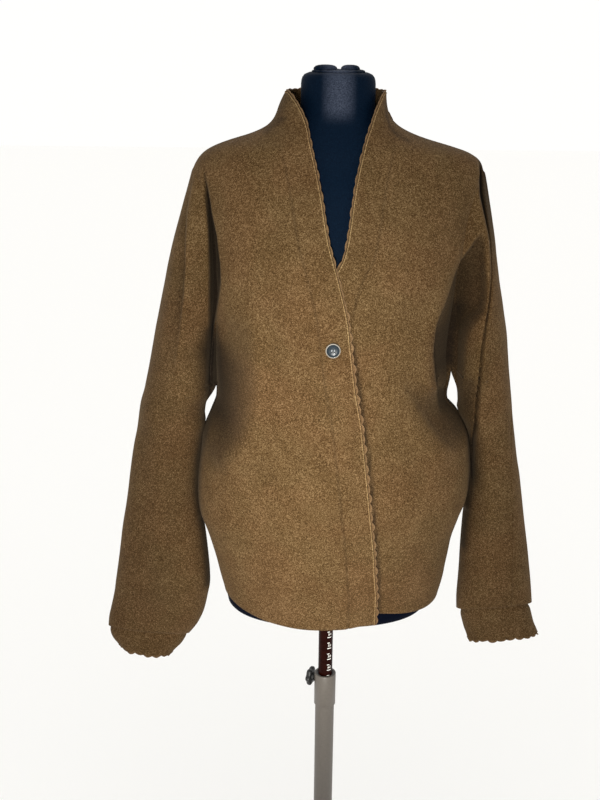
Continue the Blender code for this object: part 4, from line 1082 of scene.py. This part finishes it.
def cuff_point(side, z, angle):
    """A cuff's outer point: eased cloth, drawn in under the sleeve's end, with round corners."""
    inner, outer, depth = at_height(CUFFS[side], z)
    across, along = math.sin(angle), math.cos(angle)
    low = float(smooth_step(CUFFS[side][0].z + CUFF_FLARE - z, 0.0, CUFF_FLARE))
    tuck = math.exp(-((z - SLEEVE_END[side]) / CUFF_TUCK_REACH) ** 2)
    wave = 1.0 + CUFF_WAVE * math.sin(3 * angle + 40 * z) - CUFF_TUCK[side] * tuck
    for size, count, start in MOUTH_WAVES:
        wave += low * size * math.sin(count * angle + start)
    x = (outer - inner) / 2 * rounded(across, SLEEVE_POWER) * wave
    y = depth * rounded(along, SLEEVE_POWER) * wave
    if side == "left" and along > 0.0:
        lap = float(smooth_step(across + 0.99 - CUFF_LAP_SLANT * low, 0.0, 0.04))
        y += CUFF_LAP * lap * float(smooth_step(along, 0.0, 0.30))
    rise = sleeve_end_rise(side, CUFFS[side], (inner + outer) / 2 + x, y, z)
    rise += low * (CUFF_CORNER[side] * abs(across) ** 5 + MOUTH_RISE * math.sin(7 * angle))
    return Vector((SIGN[side] * ((inner + outer) / 2 + x) + JACKET_SIDE, -y, z + rise))


def make_cuff(side, finish):
    bottom, top = CUFFS[side][0].z, CUFFS[side][-1].z
    levels = [bottom] + levels_between(bottom, top, CUFF_ROWS)
    points = np.array([cuff_point(side, z, angle) for z in levels for angle in turns(CUFF_COLUMNS)])
    faces = tube_faces(len(levels), CUFF_COLUMNS, capped=False)
    centres = points.reshape(len(levels), CUFF_COLUMNS, 3).mean(axis=1)
    normals = vertex_normals(points, faces)
    turned_in = np.sum(normals * (points - centres.repeat(CUFF_COLUMNS, axis=0)), axis=1) < 0
    normals[turned_in] *= -1
    above = points[:, 2] - points[:, 2].min() - CUFF_STITCH_UP
    points -= normals * (CUFF_STITCH_DEPTH * np.exp(-(above / CUFF_STITCH_WIDTH) ** 2))[:, None]
    wall_points, wall_faces = thick(points, normals, faces)
    piece = make_object("cuff_%s_cloth" % side, wall_points, wall_faces, finish, "figure")
    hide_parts("cuff_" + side)
    line = edge_line(points, normals, [(k, k + 2 * CUFF_COLUMNS) for k in range(CUFF_COLUMNS)])
    return piece, line + line[:1]


# Tubes and lathe work

def tube_faces(rings, sides, closed=False, capped=True):
    """Faces round a tube's rings; a closed tube's ends meet, and others have caps if wanted."""
    faces = []
    for ring in range(rings if closed else rings - 1):
        here, after = ring * sides, (ring + 1) % rings * sides
        for k in range(sides):
            turn = (k + 1) % sides
            faces.append((here + k, here + turn, after + turn, after + k))
    if capped and not closed:
        faces += [tuple(range(sides)), tuple((rings - 1) * sides + k for k in range(sides))]
    return faces


def along_axis(points, axis, at):
    """Points around +Z, laid round another axis that starts at a place."""
    turn = axis.to_track_quat("Z", "Y").to_matrix()
    return [turn @ point + at for point in points]


def lathe(name, profile, finish, body, steps=LATHE_STEPS, axis=None, at=None, closed=False):
    """A (radius, height) profile turned about +Z, or about another axis from a place on it."""
    points = [Vector((radius * math.cos(angle), radius * math.sin(angle), height))
              for radius, height in profile for angle in turns(steps)]
    if axis is not None:
        points = along_axis(points, axis, at)
    made = make_object(name, points, tube_faces(len(profile), steps, closed), finish, body)
    made.data.set_sharp_from_angle(angle=math.radians(40))
    return made


# Materials

class Finish:
    """One material, with short ways to add nodes to it and to join them."""

    def __init__(self, name):
        self.material = bpy.data.materials.new(name)
        self.material.use_nodes = True
        self.nodes = self.material.node_tree.nodes
        self.shader = self.nodes["Principled BSDF"]

    def feed(self, socket, value):
        """Joins another node's output to a socket, or writes a plain value on it."""
        if isinstance(value, bpy.types.NodeSocket):
            self.material.node_tree.links.new(value, socket)
        else:
            socket.default_value = value

    def uniform(self, values):
        for name, value in values.items():
            self.shader.inputs[name].default_value = value

    def place(self):
        return self.nodes.new("ShaderNodeTexCoord").outputs["Object"]

    def point_value(self, name):
        attribute = self.nodes.new("ShaderNodeAttribute")
        attribute.attribute_name = name
        return attribute.outputs["Fac"]

    def noise(self, place, scale, detail, roughness):
        node = self.nodes.new("ShaderNodeTexNoise")
        names = ("Vector", "Scale", "Detail", "Roughness")
        for name, value in zip(names, (place, scale, detail, roughness)):
            self.feed(node.inputs[name], value)
        return node.outputs["Fac"]

    def ramp(self, source, stops):
        node = self.nodes.new("ShaderNodeValToRGB")
        while len(node.color_ramp.elements) < len(stops):
            node.color_ramp.elements.new(0.5)
        for element, (place, colour) in zip(node.color_ramp.elements, stops):
            element.position = place
            element.color = (*colour, 1.0)
        self.feed(node.inputs["Fac"], source)
        return node.outputs["Color"]

    def mix(self, mode, share, first, second):
        node = self.nodes.new("ShaderNodeMix")
        node.data_type = "RGBA"
        node.blend_type = mode
        colours = [socket for socket in node.inputs if socket.type == "RGBA"]
        for value, socket in zip((share, first, second), (node.inputs["Factor"], *colours)):
            self.feed(socket, value)
        return [socket for socket in node.outputs if socket.type == "RGBA"][0]

    def maths(self, operation, *values):
        node = self.nodes.new("ShaderNodeMath")
        node.operation = operation
        for value, socket in zip(values, node.inputs):
            self.feed(socket, value)
        return node.outputs["Value"]

    def bump(self, height, strength, distance):
        node = self.nodes.new("ShaderNodeBump")
        for name, value in zip(("Height", "Strength", "Distance"), (height, strength, distance)):
            self.feed(node.inputs[name], value)
        self.feed(self.shader.inputs["Normal"], node.outputs["Normal"])


def wool_material(name, dark, middle, light, tip_highlight=None):
    """Heathered felt: fine flecks and broad warm and olive patches, with a matt nap, and painted shade from
    each point's shade mark or a painted highlight on scallop tips.
    """
    made = Finish(name)
    place = made.place()
    fleck = made.noise(place, 760.0, 2.0, 0.55)
    mottle = made.noise(place, 300.0, 2.0, 0.6)
    cloud = made.noise(place, 22.0, 3.0, 0.6)
    share = made.maths("MULTIPLY_ADD", mottle, 0.30, -0.15)
    share = made.maths("ADD", share, fleck)
    share = made.maths("ADD", share, made.maths("MULTIPLY_ADD", cloud, 0.16, -0.08))
    colour = made.ramp(share, ((0.28, dark), (0.50, middle), (0.70, light)))
    tint = made.ramp(made.noise(place, 13.0, 3.0, 0.55), WOOL_TINTS)
    colour = made.mix("MULTIPLY", 1.0, colour, tint)
    # Painted shade: the shade mark mixes the colour towards near-black
    if tip_highlight is None:
        colour = made.mix("MIX", made.point_value("shade"), colour, PAINTED_SHADE_WOOL)
    else:
        # Painted highlight: the scallops' outer rims lighten towards the tip colour
        near = made.maths("POWER", made.point_value("tip"), 2.0)
        colour = made.mix("MIX", made.maths("MULTIPLY", near, 0.75), colour, tip_highlight)
    made.feed(made.shader.inputs["Base Color"], colour)
    made.uniform({"Roughness": 0.95, "Specular IOR Level": 0.08, "Sheen Weight": 0.05,
                  "Sheen Roughness": 0.5, "Sheen Tint": (0.75, 0.55, 0.35, 1.0)})
    grain = made.noise(place, 1100.0, 2.0, 0.6)
    made.bump(made.maths("MULTIPLY_ADD", mottle, 0.5, grain), 0.60, 0.0006)
    return made.material


def jersey_material():
    """Navy-black jersey stretched over the form, with a painted highlight on the neck's front, broken up by
    the lint noise, and painted shade below the hem.
    """
    made = Finish("jersey")
    place = made.place()
    lint = made.noise(place, 750.0, 4.0, 0.75)
    colour = made.ramp(lint, JERSEY_TONES)
    axes = made.nodes.new("ShaderNodeSeparateXYZ")
    made.feed(axes.inputs["Vector"], place)
    # Painted highlight: a pale patch on the neck's front, broken up by the lint noise
    aside = made.maths("SUBTRACT", axes.outputs["X"], NECK_SHIFT)
    aside = made.maths("DIVIDE", aside, NECK_HIGHLIGHT_HALF_WIDTH)
    near = made.maths("SUBTRACT", 1.0, made.maths("MULTIPLY", aside, aside))
    neck_highlight = made.maths("SMOOTH_MAX", near, 0.0, 0.3)
    high = made.nodes.new("ShaderNodeMapRange")
    high.interpolation_type = "SMOOTHSTEP"
    for socket, value in zip(("From Min", "From Max", "Value"), (*NECK_HIGHLIGHT_HEIGHTS, axes.outputs["Z"])):
        made.feed(high.inputs[socket], value)
    neck_highlight = made.maths("MULTIPLY", neck_highlight, high.outputs["Result"])
    neck_highlight = made.maths("MULTIPLY", neck_highlight, made.maths("MULTIPLY_ADD", lint, 3.4, -1.05))
    colour = made.mix("MIX", neck_highlight, colour, NECK_HIGHLIGHT_JERSEY)
    # Painted shade below the jacket's hem
    colour = made.mix("MULTIPLY", 1.0, colour, made.ramp(axes.outputs["Z"], SHADE_UNDER_HEM))
    made.feed(made.shader.inputs["Base Color"], colour)
    made.uniform({"Roughness": 0.65, "Specular IOR Level": 0.03, "Sheen Weight": 0.01,
                  "Sheen Roughness": 0.4, "Sheen Tint": (0.45, 0.55, 0.80, 1.0)})
    made.bump(lint, 0.35, 0.0004)
    return made.material


def plain_material(name, paint):
    """Paint or moulded plastic with faint unevenness in colour and gloss."""
    made = Finish(name)
    grain = made.noise(made.place(), paint.scale, 3.0, 0.6)
    low = tuple(value * (1.0 - paint.speckle) for value in paint.colour)
    high = tuple(min(1.0, value * (1.0 + paint.speckle)) for value in paint.colour)
    made.feed(made.shader.inputs["Base Color"], made.ramp(grain, ((0.3, low), (0.7, high))))
    rough = made.maths("MULTIPLY_ADD", grain, 0.16, paint.roughness - 0.08)
    made.feed(made.shader.inputs["Roughness"], rough)
    made.uniform({"Specular IOR Level": paint.gloss, "Coat Weight": paint.coat})
    made.bump(grain, 0.12, 0.0002)
    return made.material


# Button

def make_button(horn, rim, thread):
    """A four-hole button: a rim with a painted pale highlight on its front crest, round a dished dark middle,
    sewn on with thread.
    """
    half_width, _, body_depth, _, power = at_height(BODY, BUTTON_Z)
    fold = fold_rise("front_right", np.array([BUTTON_X]), np.array([BUTTON_Z]))[0]
    front = arc_depth(BUTTON_X, half_width, body_depth, power) + OVERLAP_LIFT + float(fold)
    at = Vector((BUTTON_X + JACKET_SIDE, -front - BUTTON_STANDOFF, BUTTON_Z))
    profile = [(BUTTON_RADIUS * out, BUTTON_HEIGHT * up) for out, up in BUTTON_PROFILE]
    button = lathe("button_horn", profile, [horn, rim], "figure", axis=Vector((0, -1, 0)), at=at)
    # Painted highlight: faces on the rim's front crest take the pale finish
    for polygon in button.data.polygons:
        centre = polygon.center - at
        outside = math.hypot(centre.x, centre.z) > BUTTON_RADIUS * HIGHLIGHT_FROM
        if outside and -centre.y > BUTTON_HEIGHT * HIGHLIGHT_ABOVE:
            polygon.material_index = 1
    spots = [Vector((sx * HOLE_PLACE, 0, sz * HOLE_PLACE)) for sx in (-1, 1) for sz in (-1, 1)]
    cutters = []
    for spot in spots:
        bpy.ops.mesh.primitive_cylinder_add(vertices=16, radius=HOLE_RADIUS, depth=0.02,
                                            location=at + spot, rotation=(math.pi / 2, 0, 0))
        cutters.append(bpy.context.object)
        cut = button.modifiers.new("Hole", "BOOLEAN")
        cut.object = bpy.context.object
    bpy.context.view_layer.update()
    baked = bpy.data.meshes.new_from_object(
        button.evaluated_get(bpy.context.evaluated_depsgraph_get()))
    button.modifiers.clear()
    button.data = baked
    for cutter in cutters:
        bpy.data.objects.remove(cutter, do_unlink=True)
    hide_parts("button")
    for index, (a, b) in enumerate(((0, 1), (2, 3))):
        for strand in (-1, 1):
            lift = at + Vector((strand * STRAND_GAP, -BUTTON_HEIGHT * 0.50, 0))
            path = [lift + spots[a].lerp(spots[b], share) + Vector((0, y, z))
                    for share, y, z in THREAD_PATH]
            sew("button_thread_%d_%d" % (index, strand + 1), path, THREAD_RADIUS, thread)


def sew(name, path, radius, finish, sides=8):
    """A thin round thread through a few places."""
    rings = []
    for k, place in enumerate(path):
        ahead = (path[min(k + 1, len(path) - 1)] - path[max(k - 1, 0)]).normalized()
        across = ahead.cross(Vector((1, 0, 0))).normalized()
        up = ahead.cross(across)
        rings += [place + (across * math.cos(angle) + up * math.sin(angle)) * radius
                  for angle in turns(sides)]
    return make_object(name, rings, tube_faces(len(path), sides), finish, "figure")


# Dress form

def make_form(finish):
    """The jersey-covered torso, closed underneath round the pole's socket."""
    table = FORM[::-1]
    levels = [table[0].z]
    for lower, upper in zip(table, table[1:]):
        steps = max(2, round((upper.z - lower.z) / FORM_STEP))
        levels += levels_between(lower.z, upper.z, steps)
    points = [Vector((BORE_RADIUS * math.sin(angle), -BORE_RADIUS * math.cos(angle), z))
              for z in (SOCKET_TOP, levels[0]) for angle in turns(FORM_COLUMNS)]
    for z in levels:
        half_width, front, back = at_height(table, z)
        shift = NECK_SHIFT * float(smooth_step(z, *NECK_BLEND))
        for angle in turns(FORM_COLUMNS):
            along = rounded(math.cos(angle), FORM_POWER)
            points.append(Vector((half_width * rounded(math.sin(angle), FORM_POWER) + shift,
                                  -along * (front if along >= 0 else back), z)))
    faces = tube_faces(len(levels) + 2, FORM_COLUMNS)
    piece = make_object("form_jersey", points, faces, finish, "figure")
    piece.data.set_sharp_from_angle(angle=math.radians(60))
    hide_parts("form_torso")
    return piece


def make_gather(finish):
    """The jersey drawn together on the neck's top: two soft bunches with radial pleats."""
    top = FORM[0].z + SEAM
    points = []
    for radius, height in GATHER_DISC:
        for angle in turns(DISC_STEPS):
            reach = radius * (1.0 + DISC_PLEAT * math.sin(17 * angle))
            points.append(Vector((NECK_SHIFT + reach * math.cos(angle), reach * math.sin(angle),
                                  top + height * (1.0 + 0.15 * math.sin(13 * angle)))))
    disc = make_object("gather_disc", points, tube_faces(len(GATHER_DISC), DISC_STEPS), finish,
                       "figure")
    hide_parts("cover_gather")
    for index, (x, radius, pleats) in enumerate(GATHER_LUMPS):
        rings = []
        for share, rise in LUMP_PROFILE:
            for angle in turns(LUMP_STEPS):
                reach = radius * share * (1.0 + LUMP_PLEAT * share * math.sin(pleats * angle + index))
                rings.append(Vector((x + reach * math.cos(angle), LUMP_STRETCH * reach * math.sin(angle),
                                     top + LUMP_FOOT + LUMP_HEIGHT * rise)))
        make_object("gather_lump_%d" % index, rings, tube_faces(len(LUMP_PROFILE), LUMP_STEPS), finish,
                    "figure")


# Stand

def make_stand(paints):
    """The floor plate, the tube with its collar, and the pole with its scale and clamp."""
    grey, black = paints["grey_steel"], paints["black_plastic"]
    foot, bush = BASE_THICKNESS + SEAM, BORE_RADIUS + 0.0020
    lip, around = TUBE_TOP + SEAM, TUBE_RADIUS + SEAM
    base = lathe("base_disc",
                 [(BASE_RADIUS - 0.002, 0.0), (BASE_RADIUS, 0.0012), (BASE_RADIUS, BASE_THICKNESS - 0.0018),
                  (BASE_RADIUS - 0.0006, BASE_THICKNESS - 0.0006),
                  (BASE_RADIUS - 0.0022, BASE_THICKNESS), (TUBE_RADIUS, BASE_THICKNESS)],
                 grey, "stand", steps=2 * LATHE_STEPS)
    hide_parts("base_plate")
    tube = lathe("outer_tube",
                 [(TUBE_RADIUS, foot), (TUBE_RADIUS, TUBE_TOP), (BORE_RADIUS, TUBE_TOP), (BORE_RADIUS, foot)],
                 grey, "stand", closed=True)
    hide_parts("tube_lower")
    collar = lathe("tube_sleeve",
                   [(around + 0.0008, COLLAR_FOOT), (COLLAR_RADIUS, COLLAR_FOOT + 0.0010),
                    (COLLAR_RADIUS, COLLAR_TOP - 0.0014), (COLLAR_RADIUS - 0.0004, COLLAR_TOP - 0.0004),
                    (COLLAR_RADIUS - 0.0014, COLLAR_TOP), (BORE_RADIUS + 0.0022, COLLAR_TOP),
                    (BORE_RADIUS + 0.0022, lip), (around, lip), (around, COLLAR_FOOT)],
                   grey, "stand", closed=True)
    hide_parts("tube_collar")
    lathe("tube_bush",
          [(BORE_RADIUS, lip + 0.0002), (bush, lip + 0.0002), (bush, COLLAR_TOP - 0.0008),
           (BORE_RADIUS, COLLAR_TOP - 0.0008)], black, "stand", closed=True)
    pole = lathe("inner_pole",
                 [(POLE_RADIUS - 0.001, POLE_FOOT), (POLE_RADIUS, POLE_FOOT + 0.001),
                  (POLE_RADIUS, SOCKET_TOP - 0.0013), (POLE_RADIUS - 0.001, SOCKET_TOP - SEAM)],
                 paints["red_steel"], "column")
    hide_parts("pole_upper")
    make_scale(paints["scale_paint"])
    make_knob(black)


def on_pole(angle, z, radius=POLE_RADIUS + 0.00008):
    """A place on the pole: angle 0 faces the viewer and grows to the viewer's right."""
    return Vector((radius * math.sin(angle), -radius * math.cos(angle), z))


def make_scale(pale):
    """Pale centimetre marks with small figures on the pole's front."""
    points, faces = [], []
    for index in range(MARKS):
        z = SCALE_FOOT + MARK_STEP * index
        reach = LONG_MARK if index % 2 == 0 else SHORT_MARK
        first = len(points)
        for k in range(MARK_COLUMNS + 1):
            angle = MARK_START + reach * k / MARK_COLUMNS
            points += [on_pole(angle, z), on_pole(angle, z + MARK_HEIGHT)]
        faces += [(first + 2 * k, first + 2 * k + 2, first + 2 * k + 3, first + 2 * k + 1)
                  for k in range(MARK_COLUMNS)]
    make_object("pole_marks", points, faces, pale, "column")
    for index in range(MARKS // 2):
        curve = bpy.data.curves.new("pole_figure", "FONT")
        curve.body = str(FIRST_FIGURE - 2 * index)
        curve.size = FIGURE_SIZE
        curve.align_x = "CENTER"
        letter = bpy.data.objects.new("pole_figure", curve)
        bpy.context.scene.collection.objects.link(letter)
        bpy.context.view_layer.update()
        mesh = bpy.data.meshes.new_from_object(letter)
        bpy.data.objects.remove(letter, do_unlink=True)
        z = SCALE_FOOT + 2 * MARK_STEP * index + FIGURE_LIFT
        places = [on_pole(FIGURE_ANGLE + vertex.co.x / POLE_RADIUS, z + vertex.co.y)
                  for vertex in mesh.vertices]
        shapes = [tuple(polygon.vertices) for polygon in mesh.polygons]
        make_object("pole_figure_%02d" % index, places, shapes, pale, "column")


def make_knob(finish):
    """A six-lobed clamp knob with a rounded grip, on its threaded stud."""
    turn = math.radians(KNOB_AZIMUTH)
    hub, tip, radius = COLLAR_RADIUS + 0.0012, POLE_RADIUS + SEAM, KNOB_RADIUS
    face = hub + KNOB_LENGTH
    profile = [(0.0022, tip, 0.0), (0.0030, tip + 0.001, 0.0), (0.0030, hub, 0.0),
               (0.0066, hub, 0.0), (0.0070, hub + 0.003, 0.2),
               (radius * 0.88, hub + 0.0033, 1.0), (radius * 0.97, hub + 0.0042, 1.0),
               (radius, hub + 0.0055, 1.0), (radius, face - 0.003, 1.0),
               (radius * 0.96, face - 0.0012, 1.0), (radius * 0.86, face, 1.0),
               (radius * 0.40, face + 0.0008, 0.3), (radius * 0.05, face + 0.0008, 0.0)]
    points = []
    for ring, height, lobed in profile:
        for angle in turns(KNOB_STEPS):
            reach = ring * (1.0 - LOBE_DEPTH * lobed * (1.0 - math.cos(6 * angle)))
            points.append(Vector((reach * math.cos(angle), reach * math.sin(angle), height)))
    points = along_axis(points, Vector((math.cos(turn), math.sin(turn), 0)), Vector((0, 0, KNOB_Z)))
    knob = make_object("star_knob", points, tube_faces(len(profile), KNOB_STEPS), finish,
                       "knob")
    knob.data.set_sharp_from_angle(angle=math.radians(50))
    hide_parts("clamp_knob")


# Stage, lights and camera

def make_stage():
    mesh = bpy.data.meshes.new("floor")
    places = [(sx * FLOOR_REACH, sy * FLOOR_REACH, 0)
              for sx, sy in ((-1, -1), (1, -1), (1, 1), (-1, 1))]
    mesh.from_pydata(places, [], [(0, 1, 2, 3)])
    floor = bpy.data.objects.new("floor", mesh)
    bpy.context.scene.collection.objects.link(floor)
    paint = Finish("floor_paint")
    paint.uniform({"Base Color": (0.985, 0.98, 0.965, 1.0), "Roughness": 0.9})
    mesh.materials.append(paint.material)


def make_lights():
    """An even pale surround and one soft light from ahead."""
    world = bpy.data.worlds.new("studio")
    world.use_nodes = True
    background = world.node_tree.nodes["Background"]
    background.inputs["Color"].default_value = (1.0, 0.995, 0.98, 1.0)
    background.inputs["Strength"].default_value = 1.01
    bpy.context.scene.world = world
    light = bpy.data.lights.new("key", "AREA")
    light.shape = "RECTANGLE"
    light.size, light.size_y = KEY_SIZE
    light.spread = math.radians(22.0)
    light.energy = KEY_POWER
    light.color = (1.0, 0.97, 0.90)
    holder = bpy.data.objects.new("key", light)
    holder.location = KEY_PLACE
    holder.rotation_mode = "QUATERNION"
    holder.rotation_quaternion = (Vector(KEY_TARGET) - Vector(KEY_PLACE)).to_track_quat("-Z", "Y")
    bpy.context.scene.collection.objects.link(holder)


def make_camera():
    data = bpy.data.cameras.new("camera")
    data.sensor_fit = "AUTO"
    data.sensor_width = SENSOR
    data.lens = LENS
    camera = bpy.data.objects.new("camera", data)
    across = Vector((1, 0, 0))
    up = Vector((0, math.sin(CAMERA_PITCH), math.cos(CAMERA_PITCH)))
    right = across * math.cos(CAMERA_ROLL) + up * math.sin(CAMERA_ROLL)
    above = up * math.cos(CAMERA_ROLL) - across * math.sin(CAMERA_ROLL)
    turn = Matrix((right, above, right.cross(above))).transposed().to_4x4()
    camera.matrix_world = Matrix.Translation(CAMERA_PLACE) @ turn
    bpy.context.scene.collection.objects.link(camera)
    bpy.context.scene.camera = camera
    bpy.context.scene.view_settings.view_transform = "Standard"


def main():
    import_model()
    make_camera()
    make_stage()
    make_lights()
    wool = wool_material("wool", *WOOL_TONES)
    scallop = wool_material("edging", *EDGING_TONES, tip_highlight=EDGING_TIP_HIGHLIGHT)
    ridge = wool_material("edging_ridge", *RIDGE_HIGHLIGHT_TONES)
    jersey = jersey_material()
    paints = {name: plain_material(name, paint) for name, paint in PAINTS.items()}
    edgings, cuffs, fronts = {}, {}, {}
    for side in ("right", "left"):
        fronts[side], line = make_front(side, wool)
        edgings[side] = make_edging("edging_" + side, line, scallop, ridge)
        cuffs[side], line = make_cuff(side, wool)
        edgings["cuff_" + side] = make_edging("edging_cuff_" + side, line, scallop, scallop, closed=True)
    back, line = make_back(wool)
    edgings["collar"] = make_edging("edging_collar", line, scallop, ridge)
    seam = make_seam_line(fronts["left"], wool)
    form = make_form(jersey)
    make_gather(jersey)
    make_button(paints["horn"], paints["horn_rim_highlight"], paints["thread"])
    make_stand(paints)


main()
